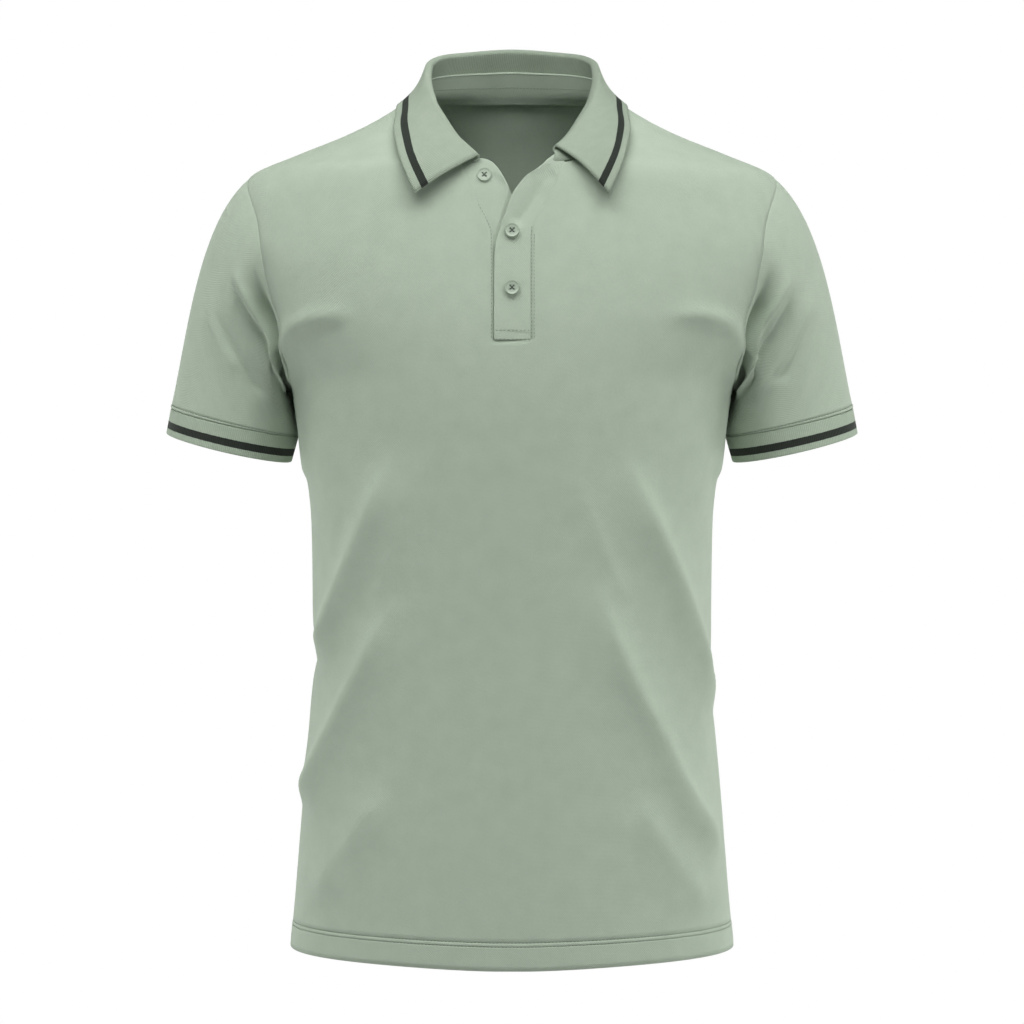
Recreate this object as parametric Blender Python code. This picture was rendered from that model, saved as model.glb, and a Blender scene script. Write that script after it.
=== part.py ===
"""A men's short-sleeved polo shirt in its worn shape, hollow, with no wearer.

Metres, +Z up, the front faces -Y and +X is the wearer's left. The origin lies at the base of the neck,
where a figure carries the shirt.

The body is a stack of rounded sections from the hem to the neck. Every cut piece is a wall of cloth on that
form: a grid of columns and rows laid between the piece's own seam lines, doubled inwards by the wall.
Angles round the body start at the centre front; +90 degrees is the wearer's left side, 180 the centre back.
"""

from bisect import bisect_right
from collections import namedtuple
from functools import lru_cache
from math import atan2, cos, degrees, exp, hypot, pi, radians, sin

import bmesh
import bpy
from mathutils import Matrix, Vector

for leftover in list(bpy.data.objects):
    bpy.data.objects.remove(leftover, do_unlink=True)

# ---------------------------------------------------------------- sizes
CLOTH = 0.0016  # wall of the pique knit
RIB = 0.0018  # wall of the collar and the cuffs
SEAM_GAP = 0.0003  # free space between two pieces at a seam
SQUARENESS = 2.3  # exponent of the body's rounded sections; 2 is an ellipse

Section = namedtuple("Section", "height half_width front_depth back_depth")
BODY = (
    Section(-0.703, 0.1835, 0.1220, 0.1120),
    Section(-0.660, 0.1795, 0.1200, 0.1090),
    Section(-0.610, 0.1755, 0.1185, 0.1060),
    Section(-0.560, 0.1715, 0.1172, 0.1025),
    Section(-0.510, 0.1672, 0.1165, 0.0990),
    Section(-0.460, 0.1645, 0.1168, 0.0970),
    Section(-0.400, 0.1650, 0.1190, 0.0990),
    Section(-0.350, 0.1660, 0.1217, 0.1040),
    Section(-0.300, 0.1714, 0.1250, 0.1090),
    Section(-0.240, 0.1797, 0.1275, 0.1140),
    Section(-0.202, 0.2086, 0.1260, 0.1160),
    Section(-0.167, 0.2346, 0.1215, 0.1155),
    Section(-0.133, 0.2445, 0.1150, 0.1130),
    Section(-0.100, 0.2369, 0.1075, 0.1085),
    Section(-0.066, 0.2170, 0.0976, 0.1015),
    Section(-0.048, 0.1792, 0.0745, 0.0965),
    Section(-0.033, 0.1430, 0.0560, 0.0915),
    Section(-0.023, 0.1222, 0.0440, 0.0875),
    Section(-0.013, 0.1046, 0.0350, 0.0830),
    Section(-0.003, 0.0892, 0.0290, 0.0785),
    Section(0.004, 0.0780, 0.0240, 0.0750),
    Section(0.015, 0.0632, 0.0180, 0.0690),
    Section(0.024, 0.0520, 0.0140, 0.0640),
)

HEM_SIDE, HEM_FRONT, HEM_BACK = -0.699, -0.703, -0.703
SHOULDER_TIP, UNDERARM = -0.066, -0.240  # heights where the armhole crosses the shoulder and side seams
ARMHOLE_FRONT, ARMHOLE_BACK = 0.0755, 0.0700  # how far the armhole reaches to the front and the back

PLACKET_WIDTH, PLACKET_END = 0.029, -0.2073
Opening = namedtuple("Opening", "height shift")  # the sideways move of each centre-front line
OPENING = (
    Opening(-0.150, 0.0),
    Opening(-0.122, 0.0003),
    Opening(-0.110, 0.0045),
    Opening(-0.0985, 0.0105),
    Opening(-0.0905, 0.0150),
    Opening(-0.0747, 0.0220),
    Opening(-0.0600, 0.0280),
)

Edge = namedtuple("Edge", "height x")  # the free edge of the upper placket, which rolls open at the top
UPPER_EDGE = (
    Edge(-0.150, -0.0142),
    Edge(-0.136, -0.0138),
    Edge(-0.119, -0.0095),
    Edge(-0.104, -0.0045),
    Edge(-0.0905, 0.0004),
    Edge(-0.0816, 0.0064),
    Edge(-0.0754, 0.0120),
    Edge(-0.0677, 0.0205),
)

Neck = namedtuple("Neck", "angle height")  # the neck seam
NECKLINE = (
    Neck(0, -0.0675),
    Neck(10, -0.0658),
    Neck(17, -0.0650),
    Neck(27, -0.0620),
    Neck(34, -0.0560),
    Neck(45, -0.0440),
    Neck(56, -0.0310),
    Neck(65, -0.0190),
    Neck(78, -0.0050),
    Neck(90, 0.0040),
    Neck(120, 0.0090),
    Neck(150, 0.0135),
    Neck(180, 0.0150),
)

Roll = namedtuple("Roll", "angle fold_x fold_y fold_z edge_angle edge_height edge_lift bulge")
COLLAR = (
    Roll(17, 0.0266, -0.0992, -0.0590, 36.3, -0.0930, 0.0120, 0.0022),
    Roll(25, 0.0345, -0.0885, -0.0505, 40.0, -0.0785, 0.0112, 0.0022),
    Roll(34, 0.0425, -0.0745, -0.0415, 44.6, -0.0640, 0.0095, 0.0018),
    Roll(47, 0.0538, -0.0560, -0.0230, 57.0, -0.0440, 0.0068, 0.0010),
    Roll(60, 0.0630, -0.0360, -0.0050, 68.0, -0.0285, 0.0045, -0.0006),
    Roll(78, 0.0680, -0.0120, 0.0160, 79.5, -0.0128, 0.0022, -0.0026),
    Roll(87, 0.0683, 0.0003, 0.0242, 87.0, -0.0064, 0.0020, -0.0032),
    Roll(95, 0.0680, 0.0120, 0.0315, 93.0, -0.0042, 0.0026, -0.0030),
    Roll(120, 0.0590, 0.0360, 0.0420, 120.0, -0.0020, 0.0030, -0.0010),
    Roll(150, 0.0330, 0.0545, 0.0482, 150.0, 0.0055, 0.0030, 0.0008),
    Roll(180, 0.0000, 0.0600, 0.0512, 180.0, 0.0100, 0.0030, 0.0014),
    Roll(210, -0.0330, 0.0545, 0.0482, 210.0, 0.0055, 0.0030, 0.0008),  # carries the curve over the back
)
COLLAR_END = 17.0  # neck angle of the centre-front line, where the collar starts
ROLL_RADIUS = 0.0026
STAND_GAP = 0.0015  # how far up the stand its lower edge lies from the neck seam

CUFF_TILT, CUFF_DIP = radians(13.2), radians(6)  # the cuff slopes down inwards and to the front
CUFF_CENTRE = Vector((0.2294, -0.004, -0.2670))  # middle of the seam between sleeve and cuff
CUFF_HALF_WIDTH, CUFF_HALF_DEPTH = 0.0541, 0.0490
CUFF_DEPTH = 0.0220
CUFF_NARROWING, CUFF_TWIST = 0.0010, 0.0008  # of the loose edge, and of the seam's outer end downwards

# The largest folds, as ridges (rise above 0) and troughs (below 0) along smooth lines through places of a
# surface. On the body a place is an angle and a height; on a sleeve it is a turn (0 top, 90 front, 180
# underarm) and a share of its length. The lines run from the middle outwards. A fold falls off within its
# outer width on the upper, outer side of its line and within its inner width on the other side.
Fold = namedtuple("Fold", "places outer inner rise")
GIRTH_PER_DEGREE, SLEEVE_GIRTH_PER_DEGREE, SLEEVE_LENGTH = 0.15 * pi / 180, 0.055 * pi / 180, 0.20
FOLD_ENDS = 0.5  # power that keeps a fold's height up towards its ends
FOLD_POWER, FOLD_STEPS = 1.25, 4  # sharpness of a fold's line, and steps of its line between two places
FOLD_WIDENING = 0.006  # the solids' grids are coarse, so their folds are this much wider on each side
BODY_FOLDS = (
    # front, wearer's right
    Fold(((-40, -0.290), (-45, -0.321), (-53, -0.367), (-65, -0.423), (-79, -0.470)), 0.016, 0.019, 0.0096),
    Fold(((-40, -0.400), (-46, -0.432), (-58, -0.492), (-71, -0.549), (-84, -0.586)), 0.016, 0.019, 0.0090),
    Fold(((-43, -0.555), (-52, -0.591), (-60, -0.622), (-68, -0.655)), 0.014, 0.018, 0.0052),
    Fold(((-46, -0.188), (-57, -0.187), (-66, -0.196), (-71, -0.211), (-79, -0.248)), 0.006, 0.009, 0.0062),
    Fold(((-78, -0.135), (-74, -0.160), (-72, -0.180), (-76, -0.206)), 0.011, 0.008, -0.0070),
    Fold(((-62, -0.440), (-90, -0.462), (-114, -0.484)), 0.012, 0.012, -0.0045),
    Fold(((-79, -0.222), (-79, -0.322)), 0.010, 0.010, 0.0048),
    # front, wearer's left
    Fold(((38, -0.288), (45, -0.333), (58, -0.397), (71, -0.463), (83, -0.511)), 0.016, 0.019, 0.0096),
    Fold(((28, -0.385), (40, -0.460), (51, -0.516), (61, -0.571), (78, -0.628)), 0.017, 0.020, 0.0088),
    Fold(((42, -0.562), (48, -0.592), (57, -0.628), (67, -0.660)), 0.014, 0.018, 0.0050),
    Fold(((45, -0.188), (57, -0.186), (65, -0.195), (71, -0.211), (79, -0.249)), 0.006, 0.009, 0.0062),
    Fold(((78, -0.135), (74, -0.160), (72, -0.180), (76, -0.206)), 0.011, 0.008, -0.0070),
    Fold(((66, -0.462), (90, -0.486), (114, -0.512)), 0.013, 0.013, -0.0050),
    Fold(((79, -0.222), (79, -0.322)), 0.010, 0.010, 0.0048),
    # back
    Fold(((150, -0.285), (132, -0.365), (112, -0.452), (100, -0.492)), 0.016, 0.019, 0.0080),
    Fold(((156, -0.395), (138, -0.470), (120, -0.545), (104, -0.600)), 0.016, 0.020, 0.0074),
    Fold(((146, -0.565), (132, -0.615), (116, -0.668)), 0.012, 0.016, 0.0034),
    Fold(((130, -0.185), (118, -0.186), (109, -0.194), (103, -0.213)), 0.008, 0.010, 0.0042),
    Fold(((-148, -0.300), (-130, -0.375), (-113, -0.455), (-101, -0.498)), 0.016, 0.020, 0.0074),
    Fold(((-158, -0.385), (-140, -0.455), (-122, -0.535), (-106, -0.588)), 0.016, 0.020, 0.0080),
    Fold(((-147, -0.550), (-133, -0.600), (-117, -0.655)), 0.012, 0.016, 0.0032),
    Fold(((-128, -0.181), (-117, -0.183), (-108, -0.191), (-103, -0.211)), 0.008, 0.010, 0.0040),
)
SLEEVE_FOLDS = {
    "left": (
        Fold(((58, 0.31), (71, 0.29), (107, 0.23), (138, 0.30), (160, 0.44)), 0.008, 0.012, 0.0044),
        Fold(((41, 0.47), (53, 0.48), (79, 0.54), (110, 0.62), (128, 0.69)), 0.009, 0.008, 0.0028),
        Fold(((57, 0.50), (82, 0.60), (104, 0.68)), 0.010, 0.010, -0.0030),
        Fold(((84, 0.12), (110, 0.10), (135, 0.09), (160, 0.13), (185, 0.15)), 0.014, 0.012, -0.0110),
        Fold(((306, 0.30), (270, 0.26), (235, 0.235), (200, 0.26)), 0.008, 0.011, 0.0038),
        Fold(((318, 0.48), (285, 0.58), (255, 0.68), (240, 0.76)), 0.010, 0.012, 0.0030),
        Fold(((282, 0.11), (250, 0.10), (220, 0.10), (195, 0.12)), 0.012, 0.009, -0.0060),
    ),
    "right": (
        Fold(((60, 0.29), (82, 0.25), (105, 0.225), (130, 0.22), (150, 0.26), (168, 0.28)), 0.008, 0.012, 0.0042),
        Fold(((40, 0.50), (60, 0.555), (79, 0.605), (97, 0.65)), 0.009, 0.008, 0.0026),
        Fold(((55, 0.49), (81, 0.56), (103, 0.63), (120, 0.71)), 0.010, 0.012, -0.0034),
        Fold(((84, 0.11), (110, 0.09), (135, 0.085), (160, 0.11), (185, 0.14)), 0.014, 0.012, -0.0110),
        Fold(((302, 0.33), (268, 0.28), (232, 0.25), (198, 0.28)), 0.008, 0.011, 0.0036),
        Fold(((314, 0.52), (282, 0.60), (252, 0.70), (236, 0.79)), 0.010, 0.012, 0.0028),
        Fold(((284, 0.12), (252, 0.10), (222, 0.10), (197, 0.13)), 0.012, 0.009, -0.0056),
    ),
}

BUTTON_RADIUS, BUTTON_THICKNESS = 0.0060, 0.0026
BUTTONS = (("button_1", -0.0220, -0.0747), ("button_2", 0.0, -0.1204), ("button_3", 0.0, -0.1661))

# rows and columns of the grids; pieces that share a seam share its count
SIDE_ROWS, ARMHOLE_ROWS = 16, 8
PLACKET_ROWS = 8
NECK_COLUMNS, SHOULDER_COLUMNS = 6, 6
SLEEVE_ROWS, CUFF_ROWS = 7, 2
EVENING_ROUNDS = 40  # passes that even out the grid of a panel


# ---------------------------------------------------------------- the form
def curve(table, column):
    """Smooth function of a table's first column that passes through one of its columns with no overshoot."""
    rows = sorted((row[0], getattr(row, column)) for row in table)
    keys, values = [row[0] for row in rows], [row[1] for row in rows]
    rises = [(values[i + 1] - values[i]) / (keys[i + 1] - keys[i]) for i in range(len(keys) - 1)]
    slopes = [rises[0]]
    for before, after in zip(rises, rises[1:]):
        slopes.append(2 * before * after / (before + after) if before * after > 0 else 0.0)
    slopes.append(rises[-1])

    def value(key):
        if key <= keys[0] or key >= keys[-1]:
            end = 0 if key <= keys[0] else -1
            return values[end] + slopes[end] * (key - keys[end])
        k = bisect_right(keys, key) - 1
        span = keys[k + 1] - keys[k]
        t = (key - keys[k]) / span
        held = values[k] * (1 + 2 * t) * (1 - t) ** 2 + values[k + 1] * t * t * (3 - 2 * t)
        return held + span * t * (1 - t) * (slopes[k] * (1 - t) - slopes[k + 1] * t)

    return value


half_width = curve(BODY, "half_width")
front_depth = curve(BODY, "front_depth")
back_depth = curve(BODY, "back_depth")
neck_seam = curve(NECKLINE, "height")
opening_shift = curve(OPENING, "shift")
upper_edge = curve(UPPER_EDGE, "x")


def depth_at(angle, height):
    return front_depth(height) if abs(angle) < 90 else back_depth(height)


def smooth_point(angle, height):
    """Point of the body's form, before any fold, at an angle in degrees and a height."""
    across, ahead = sin(radians(angle)), cos(radians(angle))
    ahead_share = abs(ahead) / depth_at(angle, height)
    across_share = abs(across) / half_width(height)
    reach = (ahead_share**SQUARENESS + across_share**SQUARENESS) ** (-1 / SQUARENESS)
    return Vector((reach * across, -reach * ahead, height))


def outward(point, a, b, da, db):
    """Unit normal of a surface point(a, b), by differences."""
    along_a = point(a + da, b) - point(a - da, b)
    along_b = point(a, b + db) - point(a, b - db)
    return along_a.cross(along_b).normalized()


def body_normal(angle, height):
    return outward(smooth_point, angle, height, 0.2, 0.0008)


@lru_cache(maxsize=None)
def fold_line(places, a_scale, b_scale):
    """Points of a smooth line through a fold's places, with both coordinates scaled to metres."""
    knots = [Vector((a * a_scale, b * b_scale)) for a, b in places]
    knots = [2 * knots[0] - knots[1]] + knots + [2 * knots[-1] - knots[-2]]
    line = []
    for before, start, end, after in zip(knots, knots[1:], knots[2:], knots[3:]):
        for step in range(FOLD_STEPS):
            t = step / FOLD_STEPS
            bend = (2 * before - 5 * start + 4 * end - after) * t**2
            twist = (3 * start - before - 3 * end + after) * t**3
            line.append(start + ((end - before) * t + bend + twist) / 2)
    return line + [knots[-2]]


def fold_lift(folds, a, b, a_scale, b_scale):
    """How far the folds lift a surface at (a, b)."""
    lift, point = 0.0, Vector((a * a_scale, b * b_scale))
    for fold in folds:
        line = fold_line(fold.places, a_scale, b_scale)
        outwards = 1 if line[-1].x >= line[0].x else -1
        nearest, share, width, done = 1.0, 0.0, fold.outer, 0.0
        for start, end in zip(line, line[1:]):
            way, here = end - start, point - start
            along = min(max(here.dot(way) / way.length_squared, 0.0), 1.0)
            off = here - way * along
            if off.length < nearest:
                nearest, share = off.length, done + way.length * along
                width = fold.outer if way.cross(off) * outwards > 0 else fold.inner
            done += way.length
        fall = exp(-((nearest / (width + FOLD_WIDENING)) ** FOLD_POWER))
        lift += fold.rise * fall * max(sin(pi * share / done), 0.0) ** FOLD_ENDS
    return lift


def body_point(angle, height, lift=0.0):
    """Point of the shirt's outer face with its folds, moved out by lift."""
    folds = fold_lift(BODY_FOLDS, angle, height, GIRTH_PER_DEGREE, 1.0)
    return smooth_point(angle, height) + body_normal(angle, height) * (lift + folds)


def angle_at(x, height):
    """Angle round the body where its front lies x from the centre."""
    angle = 0.0
    for _ in range(6):
        angle = degrees(atan2(x, -smooth_point(angle, height).y))
    return angle


def neck_height(angle):
    return neck_seam(abs(angle))


def hem_height(angle):
    middle = HEM_FRONT if abs(angle) < 90 else HEM_BACK
    return HEM_SIDE + (middle - HEM_SIDE) * cos(radians(angle)) ** 4


def armhole(turn):
    """(angle, height) on the armhole; turn 0 is the shoulder tip, 90 the front, 180 the underarm."""
    rise = cos(radians(turn))
    fullness = 2.0 if rise > 0 else 2.5
    front = turn % 360 < 180
    reach = (ARMHOLE_FRONT if front else ARMHOLE_BACK) * (1 - abs(rise) ** fullness) ** (1 / fullness)
    height = (SHOULDER_TIP + UNDERARM) / 2 + rise * (SHOULDER_TIP - UNDERARM) / 2
    share = reach / (front_depth if front else back_depth)(height)
    x = half_width(height) * (1 - share**SQUARENESS) ** (1 / SQUARENESS)
    return degrees(atan2(x, reach if front else -reach)), height


# Length along the side from the hem: a height coordinate that keeps its scale over the shoulder.
STEPS = 300
SIDE_HEIGHTS = [BODY[0].height + i * (BODY[-1].height - BODY[0].height) / STEPS for i in range(STEPS + 1)]
SIDE_LENGTHS = [0.0]
for low, high in zip(SIDE_HEIGHTS, SIDE_HEIGHTS[1:]):
    widening = half_width(high) - half_width(low)
    SIDE_LENGTHS.append(SIDE_LENGTHS[-1] + hypot(high - low, widening))


def read_between(keys, values, key):
    k = min(max(bisect_right(keys, key) - 1, 0), len(keys) - 2)
    return values[k] + (values[k + 1] - values[k]) * (key - keys[k]) / (keys[k + 1] - keys[k])


def side_length(height):
    return read_between(SIDE_HEIGHTS, SIDE_LENGTHS, height)


def side_height(length):
    return read_between(SIDE_LENGTHS, SIDE_HEIGHTS, length)


def blended(u, v, centre, outer, bottom, top):
    """(angle, height) inside a half panel, blended from its four seam lines (a Coons patch)."""

    def flat(place):
        return Vector((place[0], side_length(place[1]) * 1000))

    inside = flat(bottom(u)) * (1 - v) + flat(top(u)) * v + flat(centre(v)) * (1 - u) + flat(outer(v)) * u
    inside -= (flat(bottom(0)) * (1 - u) + flat(bottom(1)) * u) * (1 - v)
    inside -= (flat(top(0)) * (1 - u) + flat(top(1)) * u) * v
    return inside.x, side_height(inside.y / 1000)


def eased(angle, height, target):
    """The (angle, height) whose point lies nearest a target close by: one step in the tangent plane."""
    here = smooth_point(angle, height)
    by_angle = (smooth_point(angle + 0.1, height) - here) / 0.1
    by_height = (smooth_point(angle, height + 0.0005) - here) / 0.0005
    aa, ab, bb = by_angle.dot(by_angle), by_angle.dot(by_height), by_height.dot(by_height)
    at, bt = by_angle.dot(target - here), by_height.dot(target - here)
    scale = aa * bb - ab * ab
    return angle + (at * bb - bt * ab) / scale, height + (bt * aa - at * ab) / scale


def half_grid(columns, rows, centre, outer, bottom, top, angle_range):
    """(angle, height) of each corner of a half panel's grid, spread evenly between its seams."""
    grid = [
        [blended(c / columns, r / rows, centre, outer, bottom, top) for r in range(rows + 1)]
        for c in range(columns + 1)
    ]
    for _ in range(EVENING_ROUNDS):
        for c in range(1, columns):
            for r in range(1, rows):
                around = (grid[c - 1][r], grid[c + 1][r], grid[c][r - 1], grid[c][r + 1])
                middle = sum((smooth_point(*corner) for corner in around), Vector()) / 4
                angle, height = eased(*grid[c][r], middle)
                grid[c][r] = (min(max(angle, angle_range[0]), angle_range[1]), height)
    return grid


# ---------------------------------------------------------------- making pieces
def cloth_material(name, colour, roughness=0.9):
    material = bpy.data.materials.new(name)
    material.use_nodes = True
    shader = material.node_tree.nodes["Principled BSDF"]
    shader.inputs["Base Color"].default_value = (*colour, 1.0)
    shader.inputs["Roughness"].default_value = roughness
    shader.inputs["Metallic"].default_value = 0.0
    material.diffuse_color = (*colour, 1.0)
    return material


SAGE, SAGE_RIB, SAGE_BAND, SAGE_INSIDE = (
    (0.40, 0.50, 0.38),
    (0.36, 0.46, 0.34),
    (0.43, 0.53, 0.41),
    (0.28, 0.36, 0.26),
)
BUTTON_GREEN = (0.24, 0.30, 0.22)


def add_object(name, bm, material):
    bmesh.ops.recalc_face_normals(bm, faces=bm.faces)
    mesh = bpy.data.meshes.new(name)
    bm.to_mesh(mesh)
    bm.free()
    mesh.materials.append(material)
    mesh.shade_smooth()
    mesh.set_sharp_from_angle(angle=radians(50))
    obj = bpy.data.objects.new(name, mesh)
    bpy.context.scene.collection.objects.link(obj)
    return obj


def wall(name, columns, rows, place, material, gone=None):
    """One piece of cloth: a grid whose corner (column, row) has its outer and inner point from place().

    gone(column, row) leaves out a cell. A piece whose first and last columns meet becomes a tube.
    """
    bm = bmesh.new()
    bmesh.ops.create_grid(bm, x_segments=columns, y_segments=rows, size=0.5)
    if gone:
        cells = []
        for face in bm.faces:
            middle = face.calc_center_median()
            if gone(int((middle.x + 0.5) * columns), int((middle.y + 0.5) * rows)):
                cells.append(face)
        bmesh.ops.delete(bm, geom=cells, context="FACES")
    inner = bm.verts.layers.float_vector.new("inner")
    for vert in bm.verts:
        outer_point, inner_point = place(round((vert.co.x + 0.5) * columns), round((vert.co.y + 0.5) * rows))
        vert.co = outer_point
        vert[inner] = inner_point
    bmesh.ops.remove_doubles(bm, verts=bm.verts, dist=1e-6)
    extruded = bmesh.ops.extrude_face_region(bm, geom=bm.faces[:])
    for item in extruded["geom"]:
        if isinstance(item, bmesh.types.BMVert):
            item.co = item[inner]
    return add_object(name, bm, material)


def on_body(angle, height, outer_lift, thickness):
    """Outer and inner point of cloth on the body."""
    return body_point(angle, height, outer_lift), body_point(angle, height, outer_lift - thickness)


# ---------------------------------------------------------------- front and back
def seam_step(angle, height):
    """Half the seam gap, as an angle, at a point of the form."""
    return degrees(SEAM_GAP / 2 / max(smooth_point(angle, height).xy.length, 0.01))


def opening(height):
    return opening_shift(height) if height > OPENING[0].height else 0.0


def outer_edge(v, front):
    """The side seam up to the underarm, then the armhole up to the shoulder tip."""
    share = v * (SIDE_ROWS + ARMHOLE_ROWS)
    if share <= SIDE_ROWS:
        bottom = hem_height(90)
        return 90.0, bottom + (UNDERARM - bottom) * share / SIDE_ROWS
    turn = 180 * (1 - (share - SIDE_ROWS) / ARMHOLE_ROWS)
    return armhole(turn if front else 360 - turn)


def top_edge(u, start):
    """The neckline from its start angle to the shoulder seam, then the shoulder seam to its tip."""
    share = u * (NECK_COLUMNS + SHOULDER_COLUMNS)
    if share <= NECK_COLUMNS:
        angle = start + (90 - start) * share / NECK_COLUMNS
        return angle, neck_height(angle)
    at_neck, at_tip = side_length(neck_height(90)), side_length(SHOULDER_TIP)
    return 90.0, side_height(at_neck + (at_tip - at_neck) * (share - NECK_COLUMNS) / SHOULDER_COLUMNS)


def notch_top():
    """Height where the slit's edge meets the neckline."""
    height = -0.065
    for _ in range(8):
        height = neck_height(angle_at(PLACKET_WIDTH / 2 + opening(height), height))
    return height


NOTCH_TOP = notch_top()
NOTCH_ANGLE = angle_at(PLACKET_WIDTH / 2 + opening(NOTCH_TOP), NOTCH_TOP)
HALF_COLUMNS = NECK_COLUMNS + SHOULDER_COLUMNS
PANEL_ROWS = SIDE_ROWS + ARMHOLE_ROWS
NOTCH_ROW = PANEL_ROWS - PLACKET_ROWS


def slit_edge(v):
    share = v * PANEL_ROWS
    if share <= NOTCH_ROW:
        height = HEM_FRONT + (PLACKET_END - HEM_FRONT) * share / NOTCH_ROW
    else:
        height = PLACKET_END + (NOTCH_TOP - PLACKET_END) * (share - NOTCH_ROW) / PLACKET_ROWS
    return angle_at(PLACKET_WIDTH / 2 + opening(height), height), height


def hem_edge(start, end):
    return lambda u: (start + (end - start) * u, hem_height(start + (end - start) * u))


FRONT_GRID = half_grid(
    HALF_COLUMNS,
    PANEL_ROWS,
    slit_edge,
    lambda v: outer_edge(v, True),
    hem_edge(slit_edge(0)[0], 90.0),
    lambda u: top_edge(u, NOTCH_ANGLE),
    (0.0, 90.0),
)
BACK_GRID = half_grid(
    HALF_COLUMNS,
    PANEL_ROWS,
    lambda v: (180.0, HEM_BACK + (neck_height(180) - HEM_BACK) * v),
    lambda v: outer_edge(v, False),
    hem_edge(180.0, 90.0),
    lambda u: top_edge(u, 180.0),
    (90.0, 180.0),
)


def front_place(column, row):
    if column == HALF_COLUMNS + 1:
        angle, height = 0.0, slit_edge(row / PANEL_ROWS)[1]
    else:
        side = 1 if column > HALF_COLUMNS else -1
        angle, height = FRONT_GRID[column - HALF_COLUMNS - 2 if side > 0 else HALF_COLUMNS - column][row]
        angle = side * min(angle, 90 - seam_step(90, height))
    return on_body(angle, height, 0.0, CLOTH)


def back_place(column, row):
    side = 1 if column > HALF_COLUMNS else -1
    angle, height = BACK_GRID[abs(column - HALF_COLUMNS)][row]
    angle = side * max(angle, 90 + seam_step(90, height))
    return on_body(angle, height, 0.0, CLOTH)


wall(
    "front",
    2 * HALF_COLUMNS + 2,
    PANEL_ROWS,
    front_place,
    cloth_material("front_pique", SAGE),
    gone=lambda column, row: row >= NOTCH_ROW and column in (HALF_COLUMNS, HALF_COLUMNS + 1),
)
wall("back", 2 * HALF_COLUMNS, PANEL_ROWS, back_place, cloth_material("back_pique", SAGE))


# ---------------------------------------------------------------- sleeves and cuffs
SLEEVE_COLUMNS = 2 * ARMHOLE_ROWS
SET_ANGLE = radians(23)  # slope at which a sleeve leaves the shoulder
SET_FOLLOW = 0.7  # how far the sleeve's start follows the body's own slope
SLEEVE_EASE = 0.85  # length of the sleeve curves' end tangents, as a share of their span
CUFF_OUT = Vector((cos(CUFF_TILT), 0, sin(CUFF_TILT)))
CUFF_DOWN = Vector((sin(CUFF_TILT), 0, -cos(CUFF_TILT)))
CUFF_AHEAD = Vector((0, -cos(CUFF_DIP), -sin(CUFF_DIP)))


def sleeve_middle(turn, t):
    """Outer face of the left sleeve: turn 0 is its top, 90 its front; t runs from the armhole to the cuff."""
    angle, height = armhole(turn)
    normal = body_normal(angle, height)
    leave = Vector((cos(SET_ANGLE), 0, -sin(SET_ANGLE)))
    leave = (leave - normal * leave.dot(normal) * SET_FOLLOW).normalized()
    start = body_point(angle, height, SEAM_GAP) + leave * SEAM_GAP
    end = cuff_middle(turn, 0.0) - CUFF_DOWN * SEAM_GAP
    reach = (end - start).length * SLEEVE_EASE
    return (
        start * (1 + 2 * t) * (1 - t) ** 2
        + leave * reach * t * (1 - t) ** 2
        + end * t * t * (3 - 2 * t)
        - CUFF_DOWN * reach * t * t * (1 - t)
    )


def cuff_middle(turn, t):
    across = CUFF_OUT * (CUFF_HALF_WIDTH - CUFF_NARROWING * t) + CUFF_DOWN * CUFF_TWIST * (1 - t)
    ahead = CUFF_AHEAD * (CUFF_HALF_DEPTH * sin(radians(turn)))
    return CUFF_CENTRE + across * cos(radians(turn)) + ahead + CUFF_DOWN * CUFF_DEPTH * t


def mirrored(side, *corners):
    return [Vector((side * corner.x, corner.y, corner.z)) for corner in corners]


def tube_place(middle, side, rows, thickness, folds=()):
    """Outer and inner corners of a sleeve or cuff whose outer face is middle(turn, t), on either side."""

    def place(column, row):
        turn, t = 360.0 * (column % SLEEVE_COLUMNS) / SLEEVE_COLUMNS, row / rows
        normal = outward(middle, turn, t, 0.5, 0.01)
        lift = fold_lift(folds, turn, t, SLEEVE_GIRTH_PER_DEGREE, SLEEVE_LENGTH)
        point = middle(turn, t) + normal * lift * min(1.0, 10 * t, 10 * (1 - t))
        return mirrored(side, point, point - normal * thickness)

    return place


for side, which in ((1, "left"), (-1, "right")):
    wall(
        f"sleeve_{which}",
        SLEEVE_COLUMNS,
        SLEEVE_ROWS,
        tube_place(sleeve_middle, side, SLEEVE_ROWS, CLOTH, SLEEVE_FOLDS[which]),
        cloth_material(f"sleeve_{which}_pique", SAGE),
    )
    wall(
        f"cuff_{which}",
        SLEEVE_COLUMNS,
        CUFF_ROWS,
        tube_place(cuff_middle, side, CUFF_ROWS, RIB),
        cloth_material(f"cuff_{which}_rib", SAGE_RIB),
    )


# ---------------------------------------------------------------- collar and neck tape
STAND_END, ROLL_END = 0.30, 0.50  # shares of the collar's profile where the stand and the roll end
COLLAR_PROFILE = (0.0, 0.15, 0.30, 0.367, 0.433, 0.50, 0.66, 0.83, 1.0)
COLLAR_BACKSET = 7.0  # degrees by which the wearer's left end of the fold lies further back than the right
TAPE, TAPE_BELOW = 0.0010, 0.0040  # thickness, and reach below the neck seam
TAPE_SHARES = (0.03, 0.15)  # where the tape's upper rows lie on the collar's profile
TAPE_GAP, TAPE_DROP = 0.0007, 0.0017  # free space to the stand, and to the panels below the seam
TAPE_SHORT = 0.15  # share of a column that the tape stays short of each placket
roll = {column: curve(COLLAR, column) for column in Roll._fields[1:]}
NECK_ANGLES = [COLLAR_END]
NECK_ANGLES += [NOTCH_ANGLE + (90 - NOTCH_ANGLE) * i / NECK_COLUMNS for i in range(NECK_COLUMNS)]
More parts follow.
